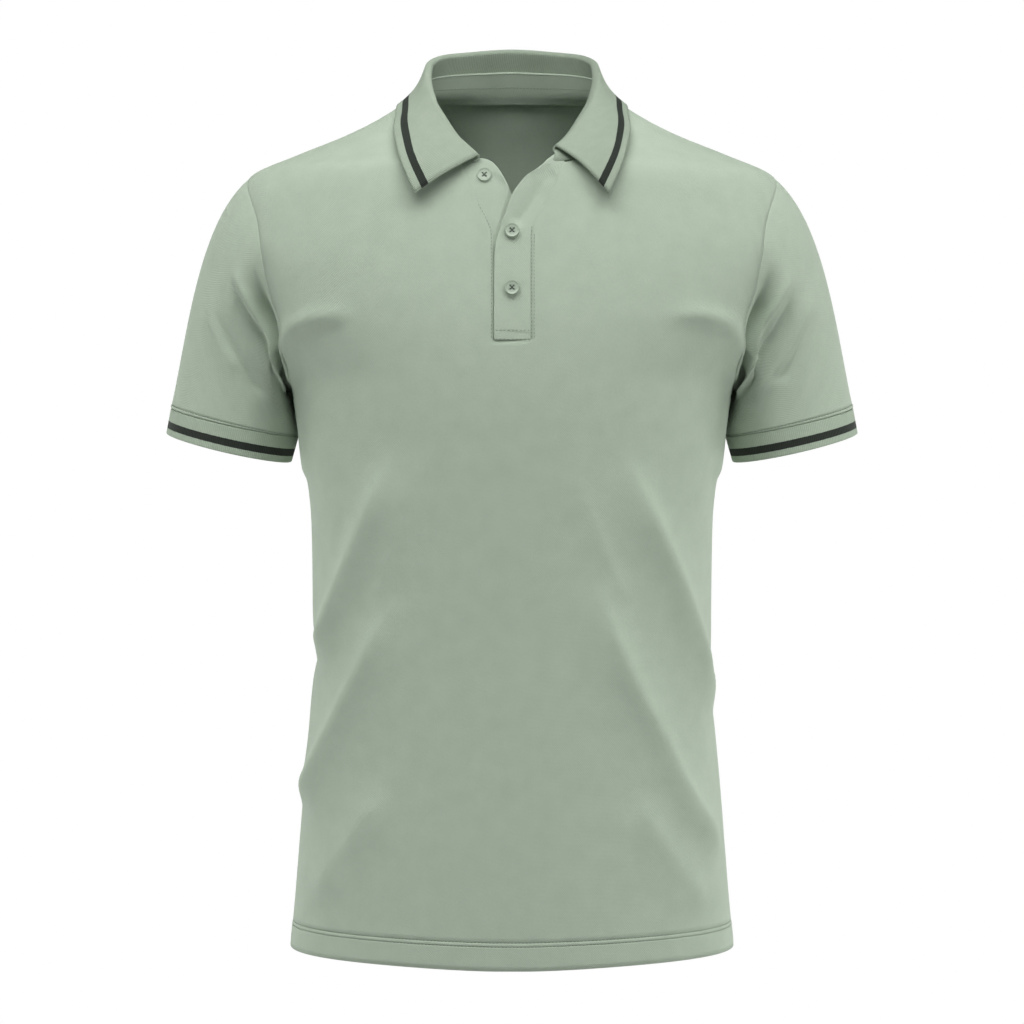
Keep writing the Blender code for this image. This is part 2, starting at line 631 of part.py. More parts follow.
NECK_ANGLES += [90 + 90 * i / NECK_COLUMNS for i in range(NECK_COLUMNS + 1)]


def collar_middle(angle, v):
    """Middle of the collar's wall on the wearer's left; v runs up the stand, over the fold, down the leaf."""
    seam = body_point(angle, neck_height(angle), -CLOTH * 0.75)
    fold = Vector((roll["fold_x"](angle), roll["fold_y"](angle), roll["fold_z"](angle)))
    edge = body_point(roll["edge_angle"](angle), roll["edge_height"](angle), roll["edge_lift"](angle))
    rise, fall = (fold - seam).normalized(), (edge - fold).normalized()
    up, out = (rise - fall).normalized(), (rise + fall).normalized()
    centre = fold - up * ROLL_RADIUS
    if v <= STAND_END:
        bottom = seam + rise * STAND_GAP
        return bottom.lerp(centre - out * ROLL_RADIUS, v / STAND_END)
    if v <= ROLL_END:
        turn = pi * (v - STAND_END) / (ROLL_END - STAND_END)
        return centre + (up * sin(turn) - out * cos(turn)) * ROLL_RADIUS
    share = (v - ROLL_END) / (1 - ROLL_END)
    away = (out - fall * out.dot(fall)).normalized()
    return (centre + out * ROLL_RADIUS).lerp(edge, share) + away * roll["bulge"](angle) * sin(pi * share)


def collar_face(angle, v, lift):
    """Point off the middle of the collar's wall; a positive lift is towards the side that shows."""
    normal = -outward(collar_middle, angle, v, 0.5, 0.01)
    return collar_middle(angle, v) + normal * lift


def neck_column(column, first):
    """(side, station) of a column that runs from the right front, round the back, to the left front."""
    last = len(NECK_ANGLES) - 1
    station = column + first
    return (-1, station) if station <= last else (1, 2 * last - station)


def collar_place(column, row):
    side, station = neck_column(column, 0)
    angle, v = NECK_ANGLES[station], COLLAR_PROFILE[row]
    if side > 0:
        angle += COLLAR_BACKSET * min(v / STAND_END, 1, 2 * (1 - v)) * (180 - angle) / (180 - COLLAR_END)
    faces = [collar_face(angle, v, lift) for lift in (RIB / 2, -RIB / 2)]
    return mirrored(side, *faces)


def below_neck(station, lift):
    """Point on a panel TAPE_BELOW down from the neck seam, on the line to the panel's next row."""
    if station <= NECK_COLUMNS + 1:
        corners = FRONT_GRID[station - 1]
    else:
        corners = BACK_GRID[2 * NECK_COLUMNS + 1 - station]
    top, lower = (body_point(*corners[row], lift) for row in (PANEL_ROWS, PANEL_ROWS - 1))
    return top.lerp(lower, TAPE_BELOW / (lower - top).length)


def tape_corners(station, row):
    """Near and far corner of the tape: row 0 lies under the panel, 1 at the seam, 2 and 3 on the stand."""
    angle, depths = NECK_ANGLES[station], (0, TAPE)
    if row > 1:
        return [collar_face(angle, TAPE_SHARES[row - 2], RIB / 2 + TAPE_GAP + depth) for depth in depths]
    if row == 0:
        return [below_neck(station, -CLOTH - TAPE_DROP - depth) for depth in depths]
    height = neck_height(angle)
    inwards = (smooth_point(angle, height + 0.001) - smooth_point(angle, height)).normalized()
    return [
        body_point(angle, height, -CLOTH - TAPE_GAP - depth) + inwards * (TAPE_GAP * 2 + depth)
        for depth in depths
    ]


def tape_place(column, row):
    side, station = neck_column(column, 1)
    corners = tape_corners(station, row)
    if station == 1:
        corners = [a.lerp(b, TAPE_SHORT) for a, b in zip(corners, tape_corners(2, row))]
    return mirrored(side, *corners)


wall(
    "collar",
    2 * (len(NECK_ANGLES) - 1),
    len(COLLAR_PROFILE) - 1,
    collar_place,
    cloth_material("collar_rib", SAGE_RIB),
)
wall("neck_tape", 2 * (len(NECK_ANGLES) - 2), 3, tape_place, cloth_material("tape_pique", SAGE_BAND))


# ---------------------------------------------------------------- plackets
PLACKET_GAP = 0.0004  # free space between the two plackets
UPPER_LIFT, UNDER_LIFT = CLOTH / 2, -CLOTH / 2 - PLACKET_GAP  # outer face of each placket off the form


PLACKET_COLUMNS, PLACKET_CUTS = 2, 2 * PLACKET_ROWS  # a placket has two rows to each of the panel's


SLIT_HEIGHTS = [slit_edge(row / PANEL_ROWS)[1] for row in range(NOTCH_ROW, PANEL_ROWS + 1)]
SLIT_SHIFTS = [opening(height) for height in SLIT_HEIGHTS]


def seam_x(height):
    """Distance from the centre of a placket's seam, straight between the panel's own corners."""
    return PLACKET_WIDTH / 2 - SEAM_GAP + read_between(SLIT_HEIGHTS, SLIT_SHIFTS, height)


def under_free_x(height):
    return opening(height) - PLACKET_WIDTH / 2 + SEAM_GAP


def upper_free_x(height):
    return upper_edge(height) if height > UPPER_EDGE[0].height else under_free_x(height)


def placket_place(side, free_x, lift):
    """Corners of a placket: column 0 is the seam to the front panel, the last column its free edge."""

    def place(column, row):
        share = column / PLACKET_COLUMNS

        def across(height):
            return seam_x(height) * (1 - share) + free_x(height) * share

        top = NOTCH_TOP
        for _ in range(8):
            top = neck_height(angle_at(across(top), top))
        height = PLACKET_END + SEAM_GAP + (top - PLACKET_END - SEAM_GAP) * row / PLACKET_CUTS
        return on_body(side * angle_at(across(height), height), height, lift, CLOTH)

    return place


PLACKETS = (("placket_upper", 1, upper_free_x, UPPER_LIFT), ("placket_under", -1, under_free_x, UNDER_LIFT))
for name, side, free_x, lift in PLACKETS:
    wall(
        name,
        PLACKET_COLUMNS,
        PLACKET_CUTS,
        placket_place(side, free_x, lift),
        cloth_material(f"{name}_pique", SAGE),
    )


# ---------------------------------------------------------------- buttons
DISH_RADIUS, DISH_DEPTH = 0.0041, 0.0009
HOLE_RADIUS, HOLE_OFFSET = 0.0008, 0.0014
BUTTON_STEPS = 24
BUTTON_PROFILE = (  # (radius, height) from the middle of the back, round the rim, to the dish
    (0.0, 0.0),
    (BUTTON_RADIUS * 0.80, 0.0),
    (BUTTON_RADIUS, BUTTON_THICKNESS * 0.45),
    (BUTTON_RADIUS * 0.90, BUTTON_THICKNESS),
    (DISH_RADIUS, BUTTON_THICKNESS - DISH_DEPTH * 0.6),
    (0.0, BUTTON_THICKNESS - DISH_DEPTH),
)


def button_mesh():
    bm = bmesh.new()
    rim = [bm.verts.new((radius, 0, height)) for radius, height in BUTTON_PROFILE]
    edges = [bm.edges.new(pair) for pair in zip(rim, rim[1:])]
    bmesh.ops.spin(
        bm,
        geom=rim + edges,
        cent=(0, 0, 0),
        axis=(0, 0, 1),
        angle=2 * pi,
        steps=BUTTON_STEPS,
        use_merge=True,
    )
    bmesh.ops.remove_doubles(bm, verts=bm.verts, dist=1e-6)
    bmesh.ops.recalc_face_normals(bm, faces=bm.faces)
    mesh = bpy.data.meshes.new("button")
    bm.to_mesh(mesh)
    bm.free()
    return mesh


def holes_mesh():
    bm = bmesh.new()
    for x in (-HOLE_OFFSET, HOLE_OFFSET):
        for y in (-HOLE_OFFSET, HOLE_OFFSET):
            bmesh.ops.create_cone(
                bm,
                cap_ends=True,
                segments=8,
                radius1=HOLE_RADIUS,
                radius2=HOLE_RADIUS,
                depth=4 * BUTTON_THICKNESS,
                matrix=Matrix.Translation((x, y, 0)),
            )
    mesh = bpy.data.meshes.new("button_holes")
    bm.to_mesh(mesh)
    bm.free()
    return mesh


button_shape, holes_shape = button_mesh(), holes_mesh()
button_finish = cloth_material("button_plastic", BUTTON_GREEN, roughness=0.45)
button_shape.materials.append(button_finish)
for name, x, height in BUTTONS:
    angle = angle_at(x, height) if x > 0 else -angle_at(-x, height)
    face = UNDER_LIFT if name == "button_1" else UPPER_LIFT
    normal = body_normal(angle, height)
    button = bpy.data.objects.new(name, button_shape)
    button.location = body_point(angle, height, face + SEAM_GAP)
    button.rotation_euler = normal.to_track_quat("Z", "Y").to_euler()
    bpy.context.scene.collection.objects.link(button)
    holes = bpy.data.objects.new(f"{name}_holes", holes_shape)
    holes.parent = button
    holes.hide_render = True
    holes.display_type = "WIRE"
    bpy.context.scene.collection.objects.link(holes)
    cut = button.modifiers.new("thread_holes", "BOOLEAN")
    cut.object = holes
    cut.operation = "DIFFERENCE"
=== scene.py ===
from collections import namedtuple
from math import cos, pi, radians, sin

import bmesh
import bpy
import numpy as np
from mathutils import Matrix, Vector


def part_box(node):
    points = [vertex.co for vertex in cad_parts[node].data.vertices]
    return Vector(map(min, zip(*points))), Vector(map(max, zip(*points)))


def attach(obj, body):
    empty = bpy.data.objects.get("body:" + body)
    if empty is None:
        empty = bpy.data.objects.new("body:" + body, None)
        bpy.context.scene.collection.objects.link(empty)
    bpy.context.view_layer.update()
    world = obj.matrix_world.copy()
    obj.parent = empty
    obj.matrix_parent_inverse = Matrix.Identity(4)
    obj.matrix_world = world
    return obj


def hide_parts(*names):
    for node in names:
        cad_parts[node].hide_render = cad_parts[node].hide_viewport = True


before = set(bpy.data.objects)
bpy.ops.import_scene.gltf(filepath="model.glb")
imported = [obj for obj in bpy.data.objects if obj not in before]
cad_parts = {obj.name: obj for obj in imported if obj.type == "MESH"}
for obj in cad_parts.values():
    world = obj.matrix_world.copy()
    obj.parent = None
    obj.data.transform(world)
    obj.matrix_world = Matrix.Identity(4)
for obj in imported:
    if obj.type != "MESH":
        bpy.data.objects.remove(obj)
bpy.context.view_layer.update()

# A short-sleeved polo shirt in its worn shape: a pique body and sleeves, rib collar and cuffs with a dark
# stripe, and a buttoned placket. Metres, +Z up; the front faces -Y and +X is the wearer's left.


# ---------------------------------------------------------------- the studio
# A seamless white floor lies far enough below the hem to stay out of the shirt's own light. One broad soft
# light hangs over the chest with a faint one ahead of it, pairs of tall ones graze the sides, and the camera
# looks straight at the front.
CHEST_HEIGHT = -0.342
VIEW_DISTANCE, VIEW_WIDTH = 2.25, 0.850
FLOOR_HEIGHT, FLOOR_SIZE = -1.4, 14.0
ROOM_LIGHT = 0.01
WHITE = (1, 1, 1, 1)


def plain_material(name, colour, roughness):
    material = bpy.data.materials.new(name)
    material.use_nodes = True
    shader = material.node_tree.nodes["Principled BSDF"]
    shader.inputs["Base Color"].default_value = (*colour, 1)
    shader.inputs["Roughness"].default_value = roughness
    return material


def add_object(name, bm, material):
    mesh = bpy.data.meshes.new(name)
    bm.to_mesh(mesh)
    bm.free()
    mesh.materials.append(material)
    mesh.shade_smooth()
    obj = bpy.data.objects.new(name, mesh)
    bpy.context.scene.collection.objects.link(obj)
    return obj


def soft_light(name, place, target, width, height, power):
    light = bpy.data.lights.new(name, "AREA")
    light.shape, light.size, light.size_y, light.energy = "RECTANGLE", width, height, power
    obj = bpy.data.objects.new(name, light)
    obj.location = place
    obj.rotation_euler = (Vector(target) - Vector(place)).to_track_quat("-Z", "Y").to_euler()
    bpy.context.scene.collection.objects.link(obj)


def white_to_camera(tree, kind, lit, output):
    """Shows the camera plain white, while the light that reaches everything else stays that of lit."""
    seen, white, blend = (tree.nodes.new(f"ShaderNode{name}") for name in ("LightPath", kind, "MixShader"))
    white.inputs["Color"].default_value = WHITE
    tree.links.new(seen.outputs["Is Camera Ray"], blend.inputs["Fac"])
    tree.links.new(lit.outputs[0], blend.inputs[1])
    tree.links.new(white.outputs[0], blend.inputs[2])
    tree.links.new(blend.outputs["Shader"], output.inputs["Surface"])


floor_bm = bmesh.new()
bmesh.ops.create_grid(floor_bm, x_segments=1, y_segments=1, size=FLOOR_SIZE / 2)
bmesh.ops.translate(floor_bm, verts=floor_bm.verts, vec=(0, 0, FLOOR_HEIGHT))
floor_white = plain_material("studio_floor_white", (0.85, 0.85, 0.85), 0.9)
floor_nodes = floor_white.node_tree.nodes
floor_lit, floor_output = floor_nodes["Principled BSDF"], floor_nodes["Material Output"]
white_to_camera(floor_white.node_tree, "Emission", floor_lit, floor_output)
floor = add_object("studio_floor", floor_bm, floor_white)

world = bpy.data.worlds.new("studio_world")
world.use_nodes = True
bpy.context.scene.world = world
room = world.node_tree.nodes["Background"]
room.inputs["Color"].default_value, room.inputs["Strength"].default_value = WHITE, ROOM_LIGHT
white_to_camera(world.node_tree, "Background", room, world.node_tree.nodes["World Output"])
bpy.context.scene.view_settings.view_transform = "Standard"

soft_light("chest_light", (0.0, -1.05, 1.72), (0, 0, -0.2), 3.2, 1.0, 66)
soft_light("front_light", (0.0, -1.9, 1.1), (0, 0, -0.3), 1.8, 1.2, 4.5)
for which, side, rim_power, side_power, fill_power in (("left", 1, 8, 4.5, 6), ("right", -1, 8, 3, 4.5)):
    soft_light(f"{which}_rim_light", (side * 1.1, 1.1, -0.6), (side * 0.15, 0, -0.5), 0.6, 1.0, rim_power)
    soft_light(f"{which}_side_light", (side * 1.5, 0.1, -0.6), (side * 0.1, 0, -0.5), 0.5, 1.0, side_power)
    soft_light(f"{which}_fill_light", (side * 1.4, -0.7, -0.5), (side * 0.1, 0, -0.45), 0.5, 1.2, fill_power)

camera_data = bpy.data.cameras.new("camera")
camera_data.sensor_width = 36
camera_data.lens = camera_data.sensor_width * VIEW_DISTANCE / VIEW_WIDTH
camera = bpy.data.objects.new("camera", camera_data)
camera.location = (0, -VIEW_DISTANCE, CHEST_HEIGHT)
camera.rotation_euler = (radians(90), 0, 0)
bpy.context.scene.collection.objects.link(camera)
bpy.context.scene.camera = camera


# ---------------------------------------------------------------- front and back panels
# The body is two cut pieces of cotton pique, joined down the sides and over the shoulders. Worn, it takes
# the shape of rounded sections from hem to neck, with soft drapes falling from the chest to the waist.
CLOTH = 0.0016
SEAM_GAP = 0.0003
SQUARENESS = 2.3

Section = namedtuple("Section", "height half_width front_depth back_depth")
BODY = (
    Section(-0.703, 0.1835, 0.1220, 0.1120),
    Section(-0.660, 0.1795, 0.1200, 0.1090),
    Section(-0.610, 0.1755, 0.1185, 0.1060),
    Section(-0.560, 0.1715, 0.1172, 0.1025),
    Section(-0.510, 0.1672, 0.1165, 0.0990),
    Section(-0.460, 0.1645, 0.1168, 0.0970),
    Section(-0.400, 0.1650, 0.1190, 0.0990),
    Section(-0.350, 0.1660, 0.1217, 0.1040),
    Section(-0.300, 0.1714, 0.1250, 0.1090),
    Section(-0.240, 0.1797, 0.1275, 0.1140),
    Section(-0.202, 0.2086, 0.1260, 0.1160),
    Section(-0.167, 0.2346, 0.1215, 0.1155),
    Section(-0.133, 0.2445, 0.1150, 0.1130),
    Section(-0.100, 0.2369, 0.1075, 0.1085),
    Section(-0.066, 0.2170, 0.0976, 0.1015),
    Section(-0.048, 0.1792, 0.0745, 0.0965),
    Section(-0.033, 0.1430, 0.0560, 0.0915),
    Section(-0.023, 0.1222, 0.0440, 0.0875),
    Section(-0.013, 0.1046, 0.0350, 0.0830),
    Section(-0.003, 0.0892, 0.0290, 0.0785),
    Section(0.004, 0.0780, 0.0240, 0.0750),
    Section(0.015, 0.0632, 0.0180, 0.0690),
    Section(0.024, 0.0520, 0.0140, 0.0640),
)
HEM_SIDE, HEM_MIDDLE = -0.699, -0.703
SHOULDER_TIP, UNDERARM = -0.066, -0.240
ARMHOLE_FRONT, ARMHOLE_BACK = 0.0755, 0.0700
PLACKET_WIDTH, PLACKET_END = 0.029, -0.2073
Opening = namedtuple("Opening", "height shift")
OPENING = (
    Opening(-0.150, 0.0),
    Opening(-0.122, 0.0003),
    Opening(-0.110, 0.0045),
    Opening(-0.0985, 0.0105),
    Opening(-0.0905, 0.0150),
    Opening(-0.0747, 0.0220),
    Opening(-0.0600, 0.0280),
)
Neck = namedtuple("Neck", "angle height")
NECKLINE = (
    Neck(0, -0.0675),
    Neck(10, -0.0658),
    Neck(17, -0.0650),
    Neck(27, -0.0620),
    Neck(34, -0.0560),
    Neck(45, -0.0440),
    Neck(56, -0.0310),
    Neck(65, -0.0190),
    Neck(78, -0.0050),
    Neck(90, 0.0040),
    Neck(120, 0.0090),
    Neck(150, 0.0135),
    Neck(180, 0.0150),
)
# Folds along smooth lines through places (an angle round the body and a height), from the middle outwards.
# Each falls off within its outer width on its upper, outer side and within its inner width on the other;
# a rise above 0 is a ridge and one below 0 a trough.
Fold = namedtuple("Fold", "places outer inner rise")
GIRTH_PER_DEGREE = 0.15 * pi / 180
FOLD_RISES, FOLD_FADES = 0.30, 0.18  # shares of a fold's length over which it rises and fades out again
FOLD_BLUNT, FOLD_POWER, FOLD_STEPS = 0.0015, 1.25, 4
BODY_FOLDS = (
    # front, wearer's right
    Fold(((-40, -0.290), (-45, -0.321), (-53, -0.367), (-65, -0.423), (-79, -0.470)), 0.016, 0.019, 0.0096),
    Fold(((-40, -0.400), (-46, -0.432), (-58, -0.492), (-71, -0.549), (-84, -0.586)), 0.016, 0.019, 0.0090),
    Fold(((-43, -0.555), (-52, -0.591), (-60, -0.622), (-68, -0.655)), 0.014, 0.018, 0.0052),
    Fold(((-46, -0.188), (-57, -0.187), (-66, -0.196), (-71, -0.211), (-79, -0.248)), 0.006, 0.009, 0.0062),
    Fold(((-78, -0.135), (-74, -0.160), (-72, -0.180), (-76, -0.206)), 0.011, 0.008, -0.0070),
    Fold(((-62, -0.440), (-90, -0.462), (-114, -0.484)), 0.012, 0.012, -0.0045),
    Fold(((-79, -0.222), (-79, -0.322)), 0.010, 0.010, 0.0048),
    # front, wearer's left
    Fold(((38, -0.288), (45, -0.333), (58, -0.397), (71, -0.463), (83, -0.511)), 0.016, 0.019, 0.0096),
    Fold(((28, -0.385), (40, -0.460), (51, -0.516), (61, -0.571), (78, -0.628)), 0.017, 0.020, 0.0088),
    Fold(((42, -0.562), (48, -0.592), (57, -0.628), (67, -0.660)), 0.014, 0.018, 0.0050),
    Fold(((45, -0.188), (57, -0.186), (65, -0.195), (71, -0.211), (79, -0.249)), 0.006, 0.009, 0.0062),
    Fold(((78, -0.135), (74, -0.160), (72, -0.180), (76, -0.206)), 0.011, 0.008, -0.0070),
    Fold(((66, -0.462), (90, -0.486), (114, -0.512)), 0.013, 0.013, -0.0050),
    Fold(((79, -0.222), (79, -0.322)), 0.010, 0.010, 0.0048),
    # back
    Fold(((150, -0.285), (132, -0.365), (112, -0.452), (100, -0.492)), 0.016, 0.019, 0.0080),
    Fold(((156, -0.395), (138, -0.470), (120, -0.545), (104, -0.600)), 0.016, 0.020, 0.0074),
    Fold(((146, -0.565), (132, -0.615), (116, -0.668)), 0.012, 0.016, 0.0034),
    Fold(((130, -0.185), (118, -0.186), (109, -0.194), (103, -0.213)), 0.008, 0.010, 0.0042),
    Fold(((-148, -0.300), (-130, -0.375), (-113, -0.455), (-101, -0.498)), 0.016, 0.020, 0.0074),
    Fold(((-158, -0.385), (-140, -0.455), (-122, -0.535), (-106, -0.588)), 0.016, 0.020, 0.0080),
    Fold(((-147, -0.550), (-133, -0.600), (-117, -0.655)), 0.012, 0.016, 0.0032),
    Fold(((-128, -0.181), (-117, -0.183), (-108, -0.191), (-103, -0.211)), 0.008, 0.010, 0.0040),
)
# Finer creases in the cloth's face; the first four sharpen the crests of the front's long drapes.
BODY_CREASES = (
    Fold(BODY_FOLDS[0].places, 0.006, 0.010, 0.0022),
    Fold(BODY_FOLDS[1].places, 0.006, 0.010, 0.0022),
    Fold(BODY_FOLDS[7].places, 0.006, 0.010, 0.0024),
    Fold(BODY_FOLDS[8].places, 0.006, 0.010, 0.0024),
    Fold(((-33, -0.290), (-37, -0.319), (-42, -0.372), (-50, -0.425)), 0.006, 0.012, 0.0018),
    Fold(((20, -0.300), (26, -0.337), (32, -0.367), (41, -0.418)), 0.006, 0.012, 0.0018),
    Fold(((-50, -0.196), (-60, -0.196), (-66, -0.206)), 0.005, 0.012, -0.0016),
    Fold(((49, -0.196), (59, -0.195), (65, -0.205)), 0.005, 0.012, -0.0016),
)
SIDE_SHARE = 16 / 24  # share of a panel's outer edge that is side seam; the rest is armhole
NECK_SHARE = 0.5  # share of a panel's top edge that is neckline; the rest is shoulder seam
SETTLING = 8  # rounds in which a place that depends on its own height or angle settles


def curve(table, column):
    """Smooth function of a table's first column through another of its columns, with no overshoot."""
    rows = sorted(table)
    keys = np.array([row[0] for row in rows])
    values = np.array([getattr(row, column) for row in rows])
    rises = np.diff(values) / np.diff(keys)
    turning = rises[:-1] * rises[1:]
    total = rises[:-1] + rises[1:]
    inner = np.where(turning > 0, 2 * turning / np.where(turning > 0, total, 1), 0)
    slopes = np.concatenate([rises[:1], inner, rises[-1:]])

    def value(key):
        key = np.asarray(key, float)
        k = np.clip(np.searchsorted(keys, key, side="right") - 1, 0, len(keys) - 2)
        span = keys[k + 1] - keys[k]
        free = (key - keys[k]) / span
        t = np.clip(free, 0, 1)
        held = values[k] * (1 + 2 * t) * (1 - t) ** 2 + values[k + 1] * t * t * (3 - 2 * t)
        bent = held + span * t * (1 - t) * (slopes[k] * (1 - t) - slopes[k + 1] * t)
        return bent + (free - t) * span * np.where(free < 0, slopes[0], slopes[-1])

    return value


half_width = curve(BODY, "half_width")
front_depth = curve(BODY, "front_depth")
back_depth = curve(BODY, "back_depth")
neck_seam = curve(NECKLINE, "height")
opening_curve = curve(OPENING, "shift")


def smooth_point(angle, height):
    """Points of the body's form at angles in degrees (0 centre front, 90 the wearer's left) and heights."""
    angle, height = np.broadcast_arrays(np.asarray(angle, float), np.asarray(height, float))
    across, ahead = np.sin(np.radians(angle)), np.cos(np.radians(angle))
    depth = np.where(ahead > 0, front_depth(height), back_depth(height))
    shares = (np.abs(ahead) / depth) ** SQUARENESS + (np.abs(across) / half_width(height)) ** SQUARENESS
    reach = shares ** (-1 / SQUARENESS)
    return np.stack([reach * across, -reach * ahead, height], axis=-1)


def unit(vectors):
    return vectors / np.linalg.norm(vectors, axis=-1, keepdims=True)


def dot(one, other):
    return np.sum(one * other, axis=-1, keepdims=True)


def outward(point, a, b, da, db):
    """Unit normals of a surface point(a, b), by differences."""
    return unit(np.cross(point(a + da, b) - point(a - da, b), point(a, b + db) - point(a, b - db)))


def body_normal(angle, height):
    return outward(smooth_point, np.asarray(angle, float), np.asarray(height, float), 0.2, 0.0008)


def eased_in(value):
    value = np.clip(value, 0, 1)
    return value * value * (3 - 2 * value)


def fold_line(places, scales):
    """Points of a smooth line through a fold's places, with both coordinates scaled to metres."""
    knots = np.array(places) * scales
    knots = np.concatenate([2 * knots[:1] - knots[1:2], knots, 2 * knots[-1:] - knots[-2:-1]])
    line = []
    for before, start, end, after in zip(knots, knots[1:], knots[2:], knots[3:]):
        for t in np.arange(FOLD_STEPS) / FOLD_STEPS:
            bend = (2 * before - 5 * start + 4 * end - after) * t**2
            twist = (3 * start - before - 3 * end + after) * t**3
            line.append(start + ((end - before) * t + bend + twist) / 2)
    return np.array(line + [knots[-2]])


def fold_lift(folds, a, b, a_scale, b_scale):
    """How far the folds lift a surface at (a, b); the scales turn both coordinates into metres."""
    a, b = np.broadcast_arrays(a * a_scale, b * b_scale)
    lift = np.zeros(a.shape)
    for fold in folds:
        line = fold_line(fold.places, (a_scale, b_scale))
        outwards = 1 if line[-1, 0] >= line[0, 0] else -1
        nearest, share, width, done = np.ones(a.shape), np.zeros(a.shape), np.ones(a.shape), 0.0
        for start, way in zip(line, np.diff(line, axis=0)):
            length = np.hypot(*way)
            along = np.clip(((a - start[0]) * way[0] + (b - start[1]) * way[1]) / length**2, 0, 1)
            off_a, off_b = a - start[0] - along * way[0], b - start[1] - along * way[1]
            off = np.hypot(off_a, off_b)
            nearer, above = off < nearest, (way[0] * off_b - way[1] * off_a) * outwards > 0
            nearest, share = np.where(nearer, off, nearest), np.where(nearer, done + along * length, share)
            width = np.where(nearer, np.where(above, fold.outer, fold.inner), width)
            done += length
        fall = np.exp(-(((np.hypot(nearest, FOLD_BLUNT) - FOLD_BLUNT) / width) ** FOLD_POWER))
        share = share / done
        lift += fold.rise * fall * eased_in(share / FOLD_RISES) * eased_in((1 - share) / FOLD_FADES)
    return lift


def body_point(angle, height, lift=0.0):
    """Points of the shirt's outer face with its folds, moved out by lift."""
    folds = fold_lift(BODY_FOLDS + BODY_CREASES, angle, height, GIRTH_PER_DEGREE, 1.0)
    return smooth_point(angle, height) + body_normal(angle, height) * np.asarray(lift + folds)[..., None]


def angle_at(x, height):
    """Angle round the body where its front lies x from the centre."""
    angle = np.zeros(np.broadcast(x, height).shape)
    for _ in range(SETTLING):
        angle = np.degrees(np.arctan2(x, -smooth_point(angle, height)[..., 1]))
    return angle


def opening(height):
    return np.where(height > OPENING[0].height, opening_curve(height), 0.0)


def hem_height(angle):
    return HEM_SIDE + (HEM_MIDDLE - HEM_SIDE) * np.cos(np.radians(angle)) ** 4


def armhole(turn):
    """(angle, height) along the armhole; turn 0 is the shoulder tip, 90 the front, 180 the underarm."""
    turn = np.asarray(turn, float) % 360
    rise, front = np.cos(np.radians(turn)), turn < 180
    fullness = np.where(rise > 0, 2.0, 2.5)
    reach = np.where(front, ARMHOLE_FRONT, ARMHOLE_BACK) * (1 - np.abs(rise) ** fullness) ** (1 / fullness)
    height = (SHOULDER_TIP + UNDERARM) / 2 + rise * (SHOULDER_TIP - UNDERARM) / 2
    share = reach / np.where(front, front_depth(height), back_depth(height))
    x = half_width(height) * (1 - share**SQUARENESS) ** (1 / SQUARENESS)
    return np.degrees(np.arctan2(x, np.where(front, reach, -reach))), height


# Length up the side from the hem: a height coordinate that keeps its scale over the shoulder.
side_heights = np.linspace(BODY[0].height, BODY[-1].height, 301)
side_steps = np.hypot(np.diff(side_heights), np.diff(half_width(side_heights)))
side_lengths = np.concatenate([[0], np.cumsum(side_steps)])


def side_length(height):
    return np.interp(height, side_heights, side_lengths)


def side_height(length):
    return np.interp(length, side_lengths, side_heights)


def outer_edge(v, front):
    """The side seam up to the underarm, then the armhole up to the shoulder tip."""
    bottom = hem_height(90)
    turn = 180 * (1 - (np.clip(v, SIDE_SHARE, 1) - SIDE_SHARE) / (1 - SIDE_SHARE))
    arm_angle, arm_height = armhole(turn if front else 360 - turn)
    on_side = v <= SIDE_SHARE
    height = np.where(on_side, bottom + (UNDERARM - bottom) * v / SIDE_SHARE, arm_height)
    return np.stack([np.where(on_side, 90.0, arm_angle), height], axis=-1)


def top_edge(u, start):
    """The neckline from its start angle to the shoulder seam, then the shoulder seam to its tip."""
    on_neck = u <= NECK_SHARE
    angle = np.where(on_neck, start + (90 - start) * u / NECK_SHARE, 90.0)
    at_neck, at_tip = side_length(neck_seam(90)), side_length(SHOULDER_TIP)
    on_shoulder = side_height(at_neck + (at_tip - at_neck) * (u - NECK_SHARE) / (1 - NECK_SHARE))
    return np.stack([angle, np.where(on_neck, neck_seam(np.abs(angle)), on_shoulder)], axis=-1)


NOTCH_TOP = -0.065
for _ in range(SETTLING):
    NOTCH_TOP = float(neck_seam(angle_at(PLACKET_WIDTH / 2 + opening(NOTCH_TOP), NOTCH_TOP)))
NOTCH_ANGLE = float(angle_at(PLACKET_WIDTH / 2 + opening(NOTCH_TOP), NOTCH_TOP))


def slit_edge(v):
    """The front's centre edge, which follows the placket's slit from two thirds of the way up."""
    below = HEM_MIDDLE + (PLACKET_END - HEM_MIDDLE) * v / SIDE_SHARE
    above = PLACKET_END + (NOTCH_TOP - PLACKET_END) * (v - SIDE_SHARE) / (1 - SIDE_SHARE)
    height = np.where(v <= SIDE_SHARE, below, above)
    return np.stack([angle_at(PLACKET_WIDTH / 2 + opening(height), height), height], axis=-1)


def hem_edge(u, start):
    """The hem from its start angle to the side seam."""
    angle = start + (90 - start) * u
    return np.stack([angle, hem_height(angle)], axis=-1)


def resampled(grid, columns, rows):
    """A grid of values read between its corners at a new number of columns and rows."""
    for axis, count in ((0, columns), (1, rows)):
        old = np.arange(grid.shape[axis])
        new = np.linspace(0, grid.shape[axis] - 1, count + 1)
        grid = np.apply_along_axis(lambda line: np.interp(new, old, line), axis, grid)
    return grid


